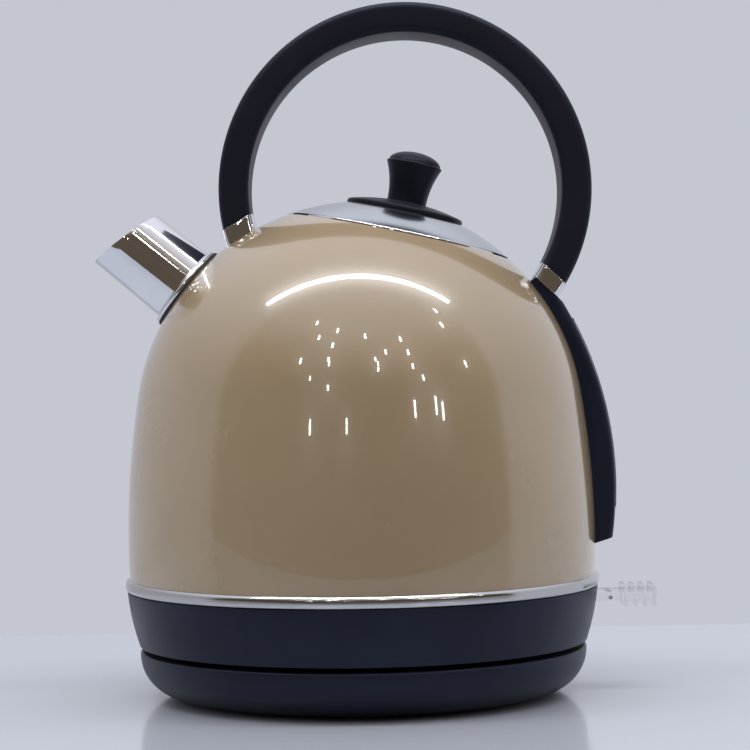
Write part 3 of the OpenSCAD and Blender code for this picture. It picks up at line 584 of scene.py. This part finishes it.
# %% Rings that a turning tool leaves round the vertical axis
rings, rings_in, rings_out = new_effect("turned_rings", {"Vector": None, "Fineness": 2600.0},
                                        ["Height", "Shade"])
parts = rings.nodes.new("ShaderNodeSeparateXYZ")
rings.links.new(rings_in["Vector"], parts.inputs[0])
across = [sum_up(rings, "MULTIPLY", parts.outputs[axis], parts.outputs[axis]) for axis in (0, 1)]
distance = sum_up(rings, "SQRT", sum_up(rings, "ADD", *across))
line = rings.nodes.new("ShaderNodeCombineXYZ")
rings.links.new(sum_up(rings, "MULTIPLY", distance, rings_in["Fineness"]), line.inputs[0])
tool_marks = noise(rings, line.outputs[0], 1.0, 4)
rings.links.new(tool_marks, rings_out["Height"])
rings.links.new(tool_marks, rings_out["Shade"])
print("rings:", len(rings.nodes), "nodes")

# %% Dust on faces that look up, and edges painted lighter as a highlight and as wear
dust, dust_in, dust_out = new_effect("dust", {"Vector": None, "Amount": 0.1}, ["Mask"])
facing = dust.nodes.new("ShaderNodeNewGeometry")
upward = dust.nodes.new("ShaderNodeSeparateXYZ")
dust.links.new(facing.outputs["Normal"], upward.inputs[0])
lying = remap(dust, upward.outputs["Z"], 0.2, 1.0, 0, 1)
specks = remap(dust, noise(dust, dust_in["Vector"], 900.0, 4), 0.5, 0.8, 0.15, 1)
settled = sum_up(dust, "MULTIPLY", lying, specks)
dust.links.new(sum_up(dust, "MULTIPLY", settled, dust_in["Amount"]), dust_out["Mask"])

# Lighter edges: a painted highlight along the edges, mixed with rub wear that noise breaks up.
edge_sheen_wear, edge_sheen_wear_in, edge_sheen_wear_out = new_effect("edge_sheen_and_wear", {"Vector": None, "Amount": 0.3}, ["Mask"])
rounded = edge_sheen_wear.nodes.new("ShaderNodeBevel")
rounded.samples = 4
rounded.inputs["Radius"].default_value = 0.6 * MM
plain = edge_sheen_wear.nodes.new("ShaderNodeNewGeometry")
turned = edge_sheen_wear.nodes.new("ShaderNodeVectorMath")
turned.operation = "DOT_PRODUCT"
edge_sheen_wear.links.new(rounded.outputs[0], turned.inputs[0])
edge_sheen_wear.links.new(plain.outputs["Normal"], turned.inputs[1])
edge = remap(edge_sheen_wear, turned.outputs["Value"], 0.995, 0.90, 0, 1)
breaks = remap(edge_sheen_wear, noise(edge_sheen_wear, edge_sheen_wear_in["Vector"], 160.0), 0.3, 0.7, 0.2, 1)
broken = sum_up(edge_sheen_wear, "MULTIPLY", edge, breaks)
edge_sheen_wear.links.new(sum_up(edge_sheen_wear, "MULTIPLY", broken, edge_sheen_wear_in["Amount"]), edge_sheen_wear_out["Mask"])
print("effect groups:", len(bpy.data.node_groups))

# %% [markdown]
# ## Materials
# Every finish starts from one Principled shader. Numbers that are the same all over are set on
# the shader's own sockets, and the effects feed only what changes over the surface: colour,
# roughness and bump. All patterns read Object coordinates, so they move with their piece.


# %% Start a material
def new_look(name, colour, roughness, **constants):
    """A material with its Principled shader. Returns the material, its tree and its coordinates."""
    look = bpy.data.materials.new(name)
    look.use_nodes = True
    shader = look.node_tree.nodes["Principled BSDF"]
    shader.inputs["Base Color"].default_value = (*colour, 1)
    shader.inputs["Roughness"].default_value = roughness
    for key, value in constants.items():
        shader.inputs[key.replace("_", " ")].default_value = value
    place = look.node_tree.nodes.new("ShaderNodeTexCoord").outputs["Object"]
    return look, look.node_tree, place


def add_effect(tree, effect, place, **values):
    """Places an effect group in a material's tree with its own values, and returns its outputs."""
    node = tree.nodes.new("ShaderNodeGroup")
    node.node_tree = effect
    tree.links.new(place, node.inputs["Vector"])
    for key, value in values.items():
        node.inputs[key].default_value = value
    return node.outputs


def feed(tree, output, socket):
    """Feeds a varying value to a socket of the material's shader."""
    tree.links.new(output, tree.nodes["Principled BSDF"].inputs[socket])


def blend_colours(tree, factor, first, second):
    """Mixes two colours by a mask. The first is a colour or the output of an earlier mix."""
    node = tree.nodes.new("ShaderNodeMix")
    node.data_type = "RGBA"
    tree.links.new(factor, node.inputs["Factor"])
    if isinstance(first, tuple):
        node.inputs["A"].default_value = (*first, 1)
    else:
        tree.links.new(first, node.inputs["A"])
    node.inputs["B"].default_value = (*second, 1)
    return node.outputs["Result"]


def raise_by(tree, height, distance):
    """Feeds a height to a bump, and the bump to the shader's normal."""
    bump = tree.nodes.new("ShaderNodeBump")
    bump.inputs["Distance"].default_value = distance
    tree.links.new(height, bump.inputs["Height"])
    feed(tree, bump.outputs["Normal"], "Normal")


material_steps = (new_look, add_effect, feed, blend_colours, raise_by)
print("helpers for materials:", ", ".join(step.__name__ for step in material_steps))

# %% [markdown]
# The jug is steel with baked enamel: a warm beige under a hard clear gloss. The coat gives the
# sharp lamp reflections, and the paint under it is softer. A slow drift in the colour and a very
# shallow ripple keep the large plain shell from looking like a computer's.

# %% Beige enamel
beige = (0.425, 0.318, 0.190)
beige_deep = (0.400, 0.296, 0.172)
enamel, tree, place = new_look("beige_enamel", beige, 0.24, Coat_Weight=1.0, Coat_Roughness=0.025,
                               Coat_IOR=1.6, Specular_IOR_Level=0.7)
drift = remap(tree, noise(tree, place, 14.0, 2), 0.35, 0.65, 0, 1)
shade = blend_colours(tree, drift, beige, beige_deep)
dusty = add_effect(tree, dust, place, Amount=0.03)["Mask"]
feed(tree, blend_colours(tree, dusty, shade, (0.6, 0.58, 0.54)), "Base Color")
feed(tree, add_effect(tree, smears, place, Base=0.22, Spread=0.06)["Roughness"], "Roughness")
raise_by(tree, noise(tree, place, 420.0, 2), 0.004 * MM)
print(enamel.name, "has", len(tree.nodes), "nodes")

# %% [markdown]
# The foot, the base and the strip are one black plastic, moulded in a finely etched tool, so they
# are satin and show a soft grain up close. The handle and the knob have a duller soft-touch skin.


# %% Black plastics
def black_plastic(name, colour, base, spread, depth, sheen_wear_amount):
    """A moulded black with grain, smears, dust, and edges painted lighter as a highlight and as
    wear.
    """
    look, tree, place = new_look(name, colour, base, Specular_IOR_Level=0.30,
                                 Specular_Tint=(0.66, 0.76, 1.0, 1.0))
    marks = add_effect(tree, grain, place)
    lighter = tuple(1.35 * c for c in colour)
    mottled = blend_colours(tree, remap(tree, marks["Mottle"], 0.3, 0.7, 0, 1), colour, lighter)
    edge_sheen_wear_mask = add_effect(tree, edge_sheen_wear, place, Amount=sheen_wear_amount)["Mask"]
    # The edges are painted a lighter grey, partly as a painted highlight and partly as wear.
    edged = blend_colours(tree, edge_sheen_wear_mask, mottled, (0.07, 0.072, 0.08))
    dusty = add_effect(tree, dust, place, Amount=0.10)["Mask"]
    feed(tree, blend_colours(tree, dusty, edged, (0.26, 0.26, 0.26)), "Base Color")
    feed(tree, add_effect(tree, smears, place, Base=base, Spread=spread)["Roughness"], "Roughness")
    raise_by(tree, marks["Height"], depth)
    return look


satin_black = black_plastic("satin_black", (0.0084, 0.0103, 0.0205), 0.34, 0.10, 0.012 * MM, 0.30)
grip_black = black_plastic("grip_black", (0.0072, 0.0077, 0.0130), 0.46, 0.10, 0.016 * MM, 0.25)
print("black plastics:", satin_black.name, grip_black.name)


# %% [markdown]
# Metals differ mostly in how rough they are. Chrome is nearly a mirror with faint smears, and the
# ring at the jug's foot is a little duller. The lid is turned steel with fine rings round its own
# axis, and the plain steel inside has coarser rings round the jug's.


# %% Metals
def metal(name, colour, base, spread, fineness=None, depth=0.0, axis=None):
    """A metal with smears, and with turned rings where a fineness is given."""
    look, tree, place = new_look(name, colour, base, Metallic=1.0)
    feed(tree, add_effect(tree, smears, place, Base=base, Spread=spread)["Roughness"], "Roughness")
    if fineness:
        mapping = tree.nodes.new("ShaderNodeMapping")
        mapping.vector_type = "TEXTURE"
        mapping.inputs["Location"].default_value = axis[0]
        mapping.inputs["Rotation"].default_value = (0, axis[1], 0)
        tree.links.new(place, mapping.inputs["Vector"])
        turned_marks = add_effect(tree, rings, mapping.outputs[0], Fineness=fineness)
        darker = tuple(0.86 * c for c in colour)
        feed(tree, blend_colours(tree, turned_marks["Shade"], colour, darker), "Base Color")
        raise_by(tree, turned_marks["Height"], depth)
    else:
        drift = remap(tree, noise(tree, place, 60.0), 0.3, 0.7, 0, 1)
        darker = tuple(0.94 * c for c in colour)
        feed(tree, blend_colours(tree, drift, colour, darker), "Base Color")
    return look


upright = ((0, 0, 0), 0)
chrome = metal("chrome", (0.80, 0.80, 0.815), 0.035, 0.05)
ring_steel = metal("ring_steel", (0.56, 0.555, 0.55), 0.10, 0.06)
lid_steel = metal("lid_steel", (0.58, 0.60, 0.635), 0.15, 0.06, 3200.0, 0.003 * MM,
                  ((0, 0, dome_z), lid_tilt))
plain_steel = metal("plain_steel", (0.62, 0.62, 0.63), 0.28, 0.10, 1400.0, 0.004 * MM, upright)
aluminium = metal("aluminium", (0.70, 0.71, 0.72), 0.42, 0.12)
brass = metal("brass", (0.78, 0.58, 0.27), 0.22, 0.10)
metals = (chrome, ring_steel, lid_steel, plain_steel, aluminium, brass)
print("metals:", ", ".join(look.name for look in metals))


# %% [markdown]
# The small parts: soft rubbers, hard plastics in their own colours, and the clear mouldings of
# the lever and the window, which are glass to the eye with a trace of haze.


# %% Rubbers, plain plastics and clear plastic
def plain(name, colour, base, depth=0.01 * MM, **constants):
    """A coloured plastic or rubber with grain and smears."""
    look, tree, place = new_look(name, colour, base, **constants)
    marks = add_effect(tree, grain, place, Scale=1800.0)
    deeper = tuple(0.85 * c for c in colour)
    mottle = remap(tree, marks["Mottle"], 0.3, 0.7, 0, 1)
    feed(tree, blend_colours(tree, mottle, colour, deeper), "Base Color")
    feed(tree, add_effect(tree, smears, place, Base=base, Spread=0.12)["Roughness"], "Roughness")
    raise_by(tree, marks["Height"], depth)
    return look


rubber = plain("rubber", (0.035, 0.035, 0.036), 0.72, 0.03 * MM)
silicone = plain("silicone", (0.55, 0.55, 0.53), 0.42, Subsurface_Weight=0.2)
cream = plain("cream_thermoset", (0.70, 0.66, 0.56), 0.45)
red_wire = plain("red_wire", (0.5, 0.03, 0.025), 0.35)
amber = plain("amber_lens", (0.9, 0.32, 0.06), 0.15, 0.002 * MM, Transmission_Weight=0.5)
clear, tree, place = new_look("clear_plastic", (0.96, 0.975, 0.985), 0.03, Transmission_Weight=1.0,
                              IOR=1.58)
feed(tree, add_effect(tree, smears, place, Base=0.01, Spread=0.03)["Roughness"], "Roughness")
raise_by(tree, noise(tree, place, 300.0, 2), 0.003 * MM)
print("materials:", len(bpy.data.materials))


# %% [markdown]
# ## The jug
# The shell is one pressed sheet: a belly that swells a little over the foot and blends into a
# dome. Its section is drawn once, up the inner wall, round the bottom lip and back up the
# outside, and spun. Three openings are cut after that: the mouth, the spout's hole and the slot
# of the water window. The inner wall is bare steel, so its faces get their own material.


# %% Draw the jug's section
def jug_half(inset, steps):
    """Half of the jug's outline from the bottom to its top, moved inwards by an inset."""
    low = math.degrees(math.asin((jug_z0 - belly_z) / belly_arc))
    centre = (body_r - belly_arc, belly_z)
    belly = arc(centre, belly_arc - inset, low, math.degrees(blend_angle), steps // 3)
    top = arc((0, dome_z), dome_r - inset, math.degrees(blend_angle), 90, steps)
    return belly + top[1:]


jug_rows = 84
outer = jug_half(0, jug_rows)
inner = jug_half(wall, jug_rows)
inner[0] = (inner[0][0], outer[0][1])
inner[-1], outer[-1] = (0, inner[-1][1]), (0, outer[-1][1])
jug = turn("jug_body", list(reversed(inner)) + outer, steps=256)
print("the jug's section has", len(inner) + len(outer), "points")

# %% Cut the mouth, the spout's hole and the window's slot
mouth_gap = 0.05 * MM
spout_hole_r = 13.6 * MM
tool_reach = 120 * MM
mouth_tool = rod("mouth_tool", mouth_r + mouth_gap, 0, tool_reach, steps=192)
lean_on_dome(mouth_tool, lid_tilt)
cut(jug, mouth_tool)
spout_tool = rod("spout_tool", spout_hole_r, 0, tool_reach)
lean_on_dome(spout_tool, spout_tilt)
cut(jug, spout_tool)
slot_half = 6.65 * MM
slot_low = 66.85 * MM
slot_high = 136.15 * MM
cut(jug, box_tool((50 * MM, -slot_half, slot_low), (100 * MM, slot_half, slot_high)))
print("faces of the shell after its three cuts:", len(jug.data.polygons))

# %% Give the inner wall its bare steel
jug.data.materials.append(enamel)
jug.data.materials.append(plain_steel)
skin = 0.25 * MM


def on_inner_wall(face):
    """Tells whether a face belongs to the inner wall or to the thin edge of an opening."""
    spot = middle(face)
    if spot.z >= dome_z:
        return (spot - Vector((0, 0, dome_z))).length < dome_r - skin
    limit = body_r - belly_arc + math.sqrt((belly_arc - skin) ** 2 - (spot.z - belly_z) ** 2)
    return math.hypot(spot.x, spot.y) < limit


edit(jug, "FACE")
inner_faces = pick(jug, "faces", on_inner_wall)
jug.active_material_index = 1
bpy.ops.object.material_slot_assign()
fresh()
finish(jug, enamel, "beige_enamel", "jug", "body_shell")
print("bare steel faces:", inner_faces)

# %% [markdown]
# The bright ring under the jug is a rolled band. It stands a little proud of the shell above it
# and the skirt below it, and its edges are tight curls.

# %% Turn the bright ring
ring_half = 2.25 * MM
ring_mid = jug_z0 + ring_half
proud = 1.2 * MM
curl = [(body_r + proud * (1 - abs(s) ** 3.4), ring_mid + ring_half * s)
        for s in (i / 10 for i in range(-10, 11))]
band = [(body_r - MM, jug_z0)] + curl + [(body_r - MM, jug_z0 + 4.5 * MM)]
trim = turn("bright_ring", band, steps=256, ring=True)
cut(trim, turn("shell_tool", [(0, 0)] + [(r - 0.02 * MM, z) for r, z in outer], steps=256))
soften(trim, 0.12 * MM, 2, 60)
finish(trim, ring_steel, "chrome", "jug", "trim_ring")

# %% [markdown]
# The foot's skirt is a black moulding that flares a little upwards. The slot for the lever is cut
# through its back, and a small bevel breaks the slot's edges.

# %% Turn the skirt and cut the lever's slot
skirt_h = jug_z0 - skirt_z0
skirt_rows = 16
skirt_wall = 2.5 * MM
skirt_line = []
for i in range(skirt_rows + 1):
    radius = (81.8 + 4.2 * i / skirt_rows + 0.6 * math.sin(math.pi * i / skirt_rows)) * MM
    skirt_line.append((radius, skirt_z0 + skirt_h * i / skirt_rows))
skirt_in = [(r - skirt_wall, z) for r, z in skirt_line]
skirt = turn("foot_skirt_moulding", skirt_line + [(skirt_line[-1][0] - 2.4 * MM, jug_z0)]
             + list(reversed(skirt_in[:-1])), steps=192, ring=True)
cut(skirt, box_tool((70 * MM, -8.8 * MM, 29.35 * MM), (95 * MM, 8.8 * MM, 36.8 * MM)))
soften(skirt, 0.35 * MM, 3, 40)
finish(skirt, satin_black, "black_plastic", "jug", "foot_skirt")

# %% [markdown]
# ## The base
# The base is a shallow cup upside down: a round side that curls under, a flat top with a rounded
# edge and a hole for the socket, and a hollow below for the plate. The section is drawn with both
# walls.

# %% Turn the base
corner = (66.4 * MM, 16.2 * MM)
side_z = 16.4 * MM
roof_z = 15.2 * MM
socket_hole_r = 17.7 * MM
plate_ledge_r = 62.4 * MM
plate_z = 3.2 * MM
base_line = (arc(corner, 15.2 * MM, -84, 0, 20)
             + [(base_r, side_z)] + arc((base_r - MM, side_z), MM, 0, 90, 5)
             + [(socket_hole_r, 17.4 * MM), (socket_hole_r, roof_z), (76.4 * MM, roof_z)]
             + arc(corner, 13 * MM, -30, -84, 12)
             + [(corner[0], plate_z), (plate_ledge_r, plate_z), (plate_ledge_r, 1.0 * MM)])
base = turn("base_moulding", base_line, steps=192, ring=True)
gland_hole = rod("gland_tool", 5.5 * MM, 0, 30 * MM, steps=64)
put(gland_hole, (0, 60 * MM, 9.6 * MM), (math.radians(-90), 0, 0))
cut(base, gland_hole)
soften(base, 0.25 * MM, 2, 50)
finish(base, satin_black, "black_plastic", "base", "base_housing")

# %% [markdown]
# ## The spout
# The spout is a short, slightly tapering tube of bright metal. Its mouth is cut on a slant, its
# seat follows the dome, and a flat collar covers the joint, over a thin dark gasket.

# %% Turn the spout and cut both of its ends
taper = (spout_r - spout_mouth_r) / spout_length
tube_low, tube_high = dome_r - 8 * MM, spout_end + 1 * MM
r_low, r_high = spout_r + taper * 8 * MM, spout_mouth_r - taper * MM
rows = 12
side = [(r_low + (r_high - r_low) * i / rows, tube_low + (tube_high - tube_low) * i / rows)
        for i in range(rows + 1)]
bore = [(r - spout_wall, z) for r, z in side]
spout = turn("spout_tube", side + list(reversed(bore)), steps=160, ring=True)
slant_tool = box_tool((-60 * MM, -60 * MM, 0), (60 * MM, 60 * MM, 60 * MM))
put(slant_tool, (-spout_mouth_r, 0, spout_end), (0, spout_slant, 0))
cut(spout, slant_tool)
lean_on_dome(spout, spout_tilt)
cut(spout, dome_tool())
soften(spout, 0.25 * MM, 3, 50)
finish(spout, chrome, "chrome", "jug", "spout")

# %% Turn the spout's collar and the gasket under it
hug = spout_r + 0.12 * MM
flange_r = 16.4 * MM
flange_z = dome_r - 0.65 * MM
gasket_r = 16.7 * MM
gasket_z = dome_r - 6 * MM
flange = turn("spout_collar", [(hug, flange_z), (flange_r, flange_z),
                               (flange_r, dome_r + 0.1 * MM), (16.0 * MM, dome_r + 0.55 * MM),
                               (hug + 0.7 * MM, dome_r + 0.7 * MM), (hug, dome_r + 1.3 * MM)],
              steps=160, ring=True)
lean_on_dome(flange, spout_tilt)
soften(flange, 0.15 * MM, 3, 25)
finish(flange, chrome, "chrome", "jug", "spout_flange")
gasket = turn("spout_gasket", [(hug, gasket_z), (gasket_r, gasket_z),
                               (gasket_r, dome_r - 0.95 * MM), (flange_r, flange_z),
                               (hug, flange_z)], steps=160, ring=True)
lean_on_dome(gasket, spout_tilt)
cut(gasket, dome_tool())
finish(gasket, rubber, "rubber", "jug")

# %% [markdown]
# ## The handle
# A flat bar bent to a loop, standing with one foot before the lid and one behind it. Each foot
# sits in a bright collar, cut to the dome in front and to the strip's flat seat behind.

# %% Bend the loop and trim its feet
loop = bend_bar("loop_handle", loop_centre, loop_r, handle_t, handle_w, handle_edge,
                back_angle - 0.12, front_angle + 0.12, 120)
front_normal = Vector((math.sin(front_lean), 0, math.cos(front_lean)))
foot_reach = 24 * MM


def near_to(spot):
    """A test that passes for places within a foot's reach of a spot."""
    return lambda place: (place - spot).length < foot_reach


trim_end(loop, front_foot, -front_normal, near_to(front_foot))
trim_end(loop, back_foot, -seat_normal, near_to(back_foot))
finish(loop, grip_black, "black_grip", "jug", "handle_loop")

# %% Make the two collars
collar_grow = 0.5 * MM


def bend_collar(name, first, last):
    """A bar that follows the loop between two angles and stands a little proud of it."""
    return bend_bar(name, loop_centre, loop_r, handle_t + 2 * collar_grow,
                    handle_w + 2 * collar_grow, handle_edge + collar_grow, first, last, 30)


def anywhere(place):
    """A test that passes for every place."""
    return True


front_collar = bend_collar("front_foot_collar", front_angle - 0.15, front_angle + 0.22)
trim_end(front_collar, front_foot, front_normal, anywhere)
cut(front_collar, dome_tool())
soften(front_collar, 0.45 * MM, 3, 50)
finish(front_collar, chrome, "chrome", "jug", "front_collar")
back_collar = bend_collar("back_foot_collar", back_angle - 0.22, back_angle + 0.15)
trim_end(back_collar, back_foot, seat_normal, anywhere)
trim_end(back_collar, seat_point, -seat_normal, anywhere)
soften(back_collar, 0.45 * MM, 3, 50)
finish(back_collar, chrome, "chrome", "jug", "back_collar")

# %% [markdown]
# ## The strip and the window
# A black strip, as wide as the handle, runs down the back of the jug and carries the handle's
# back foot. Its outer face is one long arc. The strip is cut by the jug itself, and a slot holds
# the clear window.

# %% Bend the strip and cut it to the jug
strip = bend_bar("back_strip_moulding", strip_centre, strip_arc - strip_t / 2, strip_t,
                 handle_w, handle_edge, math.radians(-14), math.radians(36), 72)
trim_end(strip, seat_point, seat_normal, lambda place: place.z > 0.12)
slope = math.radians(17)
slope_normal = Vector((math.sin(slope), 0, -math.cos(slope)))
strip_low = Vector((body_r, 0, jug_z0 + 15.5 * MM))
trim_end(strip, strip_low, slope_normal, lambda place: place.z < 0.09)


def solid_jug(name, outline):
    """A solid block with the jug's outline, drawn on down past its foot."""
    radius, height = outline[0]
    floor = height - 30 * MM
    return turn(name, [(0, floor), (radius, floor)] + outline, steps=256)


cut(strip, solid_jug("shell_block", outer))
edit(strip, "EDGE")
corner_edges = pick(strip, "edges", lambda e: middle(e).z < 0.062 and middle(e).x > 0.0875
                    and abs(e.verts[0].co.y - e.verts[1].co.y) > 15 * MM)
bpy.ops.mesh.bevel(offset=4 * MM, segments=8, affect="EDGES", clamp_overlap=True)
fresh()
print("rounded lower corners:", corner_edges)

# %% Cut the window's slot and finish the strip
cut(strip, box_tool((50 * MM, -slot_half, slot_low), (110 * MM, slot_half, slot_high)))
soften(strip, 0.3 * MM, 2, 50)
finish(strip, satin_black, "black_plastic", "jug", "back_strip")

# %% Mould the clear window
window = bend_bar("clear_window", strip_centre, strip_arc + (0.9 - 13) * MM, strip_t, 13 * MM,
                  1.2 * MM, math.radians(-10), math.radians(28), 64)
cut(window, box_tool((60 * MM, -20 * MM, 67 * MM), (110 * MM, 20 * MM, 136 * MM)), "INTERSECT")
hollow = bend_bar("window_hollow", strip_centre, strip_arc - 20.9 * MM, 40 * MM, 9.4 * MM, 0.5 * MM,
                  math.radians(-12), math.radians(30), 64)
cut(hollow, box_tool((40 * MM, -20 * MM, 68.8 * MM), (110 * MM, 20 * MM, 134.2 * MM)), "INTERSECT")
cut(window, hollow)
cut(window, solid_jug("inner_block", inner))
soften(window, 0.2 * MM, 2, 60)
finish(window, clear, "clear_plastic", "jug", "water_window")

# %% [markdown]
# ## The lid
# The lid is a cap of a larger ball, set in a thin bright rim. The knob stands on a black disc: a
# stem that flares out, ever faster, to a head with a domed top.

# %% Turn the lid's shell and rim
cap_r = lid_r - MM
ball_z = lid_up + lid_rise - lid_ball_r
cap_edge = math.degrees(math.acos(cap_r / lid_ball_r))
cap_in = math.degrees(math.acos(cap_r / (lid_ball_r - wall)))
cap = (arc((0, ball_z), lid_ball_r - wall, 90, cap_in, 40)
       + arc((0, ball_z), lid_ball_r, cap_edge, 90, 40))
cap[0], cap[-1] = (0, cap[0][1]), (0, cap[-1][1])
lid = turn("lid_cap", cap, steps=192)
lean_on_dome(lid, lid_tilt)
finish(lid, lid_steel, "polished_steel", "lid", "lid_shell")
rim_mm = [(40.6, -1.4), (41.3, -1.4), (41.6, -1.1), (41.6, 0.35), (41.35, 0.65), (40.6, 0.75)]
rim_line = [(r * MM, lid_up + z * MM) for r, z in rim_mm]
rim = turn("lid_bright_rim", rim_line, steps=192, ring=True)
lean_on_dome(rim, lid_tilt)
soften(rim, 0.12 * MM, 2, 20)
finish(rim, chrome, "chrome", "lid", "lid_rim")

# %% Turn the disc and the knob
disc_r = 21.5 * MM
disc_ball = lid_ball_r + 1.5 * MM
low_angle = math.degrees(math.acos(disc_r / lid_ball_r))
high_angle = math.degrees(math.acos((disc_r - 0.5 * MM) / disc_ball))
disc = turn("knob_base_disc", arc((0, ball_z), lid_ball_r + 0.02 * MM, 90, low_angle, 20)
            + [(disc_r, ball_z + math.sqrt(disc_ball ** 2 - disc_r ** 2) - 0.35 * MM)]
            + arc((0, ball_z), disc_ball, high_angle, 90, 20))
lean_on_dome(disc, lid_tilt)
soften(disc, 0.3 * MM, 3, 25)
finish(disc, grip_black, "black_grip", "lid", "knob_disc")
stem_low = lid_up + 12.8 * MM
head_z = lid_up + 27.1 * MM
stem_r, flare = 7.2, 3.0
stem = [((stem_r + flare * s ** 2.2) * MM, stem_low + (head_z - stem_low) * s)
        for s in (i / 24 for i in range(25))]
lip = [(10.2 * MM, head_z + 0.25 * MM), (10.05 * MM, head_z + 0.42 * MM),
       (9.8 * MM, head_z + 0.45 * MM)]
dome_top = [(9.6 * MM * math.cos(t), head_z + 0.45 * MM + 4.35 * MM * math.sin(t))
            for t in (math.radians(4 + 86 * i / 20) for i in range(21))]
knob_line = [(0, stem_low)] + stem + lip + dome_top
knob_line[-1] = (0, knob_line[-1][1])
knob = turn("lid_knob_moulding", knob_line)
lean_on_dome(knob, lid_tilt)
finish(knob, grip_black, "black_grip", "lid", "lid_knob", smooth_below=50)

# %% [markdown]
# ## The lever
# The clear lever is one moulding: a flat arm from its hinge, a wider thumb plate and four ribs
# across it. It is joined from blocks, bored for its pin and once more, finely, across its arm, and
# softened all over.

# %% Join, bore and soften the lever
hinge = (74.5 * MM, 34.4 * MM)
arm_low, arm_high = hinge[1] - 1.6 * MM, hinge[1] + 1.6 * MM
rib_low, rib_high = hinge[1] - 3.6 * MM, hinge[1] + 3.6 * MM
plate_half = 10 * MM
plate_end = 106.8 * MM
rib_t = 1.2 * MM
ribs = 4
rib_pitch = (11.6 - 1.2) * MM / (ribs - 1)
hub_r = 3.2 * MM
bore_r = 1.55 * MM
fine_bore_r = 0.8 * MM
lever = box_tool((hinge[0], -8 * MM, arm_low), (96 * MM, 8 * MM, arm_high))
lever.name = lever.data.name = "clear_lever"


def level_pin(radius, spot_x, spot_z, half=30 * MM):
    """A round bar that lies along the hinge's direction, to bore or to join with."""
    bar = rod("pin", radius, -half, half, steps=48)
    put(bar, (spot_x, 0, spot_z), (math.radians(90), 0, 0))
    return bar


cut(lever, level_pin(hub_r, *hinge, half=8 * MM), "UNION")
cut(lever, box_tool((68 * MM, -3 * MM, arm_low), (74 * MM, 3 * MM, arm_high)), "UNION")
cut(lever, box_tool((95.2 * MM, -plate_half, arm_low), (plate_end, plate_half, arm_high)), "UNION")
for step in range(ribs):
    rib_x = plate_end - rib_t - step * rib_pitch
    rib = box_tool((rib_x, -plate_half, rib_low), (rib_x + rib_t, plate_half, rib_high))
    cut(lever, rib, "UNION")
cut(lever, level_pin(bore_r, *hinge))
cut(lever, level_pin(fine_bore_r, 90.2 * MM, hinge[1] - 0.4 * MM))
soften(lever, 0.22 * MM, 3, 40)
finish(lever, clear, "clear_plastic", "lever", "switch_lever")

# %% [markdown]
# ## The rest of the working parts
# Everything else that can be seen, such as the feet, the socket, the plug, the screws and the
# strainer, is taken straight from the frame, and gets the finish of what it is made of.

# %% Dress the CAD nodes that stay
looks = {
    satin_black: ("base_plate", "base_socket", "plug_body", "bottom_cover", "steam_switch",
                  "switch_bracket"),
    rubber: ("rubber_feet", "cord_gland"),
    plain_steel: ("base_screws", "mouth_ring", "spout_filter", "cover_screws", "jug_floor",
                  "steam_tube", "switch_pin", "handle_brackets", "handle_screws", "lid_pan",
                  "knob_screw"),
    brass: ("socket_contacts", "plug_contacts", "bimetal_disc"),
    aluminium: ("heat_spreader", "heating_element"),
    cream: ("control_unit",),
    silicone: ("window_seal", "lid_seal"),
    red_wire: ("switch_leads",),
    amber: ("indicator_lamp",),
}
for look, names in looks.items():
    for name in names:
        node = bpy.data.objects[name]
        if not node.material_slots:
            node.data.materials.append(look)
        for holder in node.material_slots:
            holder.material = look
print("dressed", sum(len(names) for names in looks.values()), "CAD nodes")

# %% Print how far the new box grows past the kept one
new_low, new_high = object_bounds()
grown = (*(cad_low - new_low), *(new_high - cad_high))
print("grown by", [round(1000 * g, 2) for g in grown], "mm")
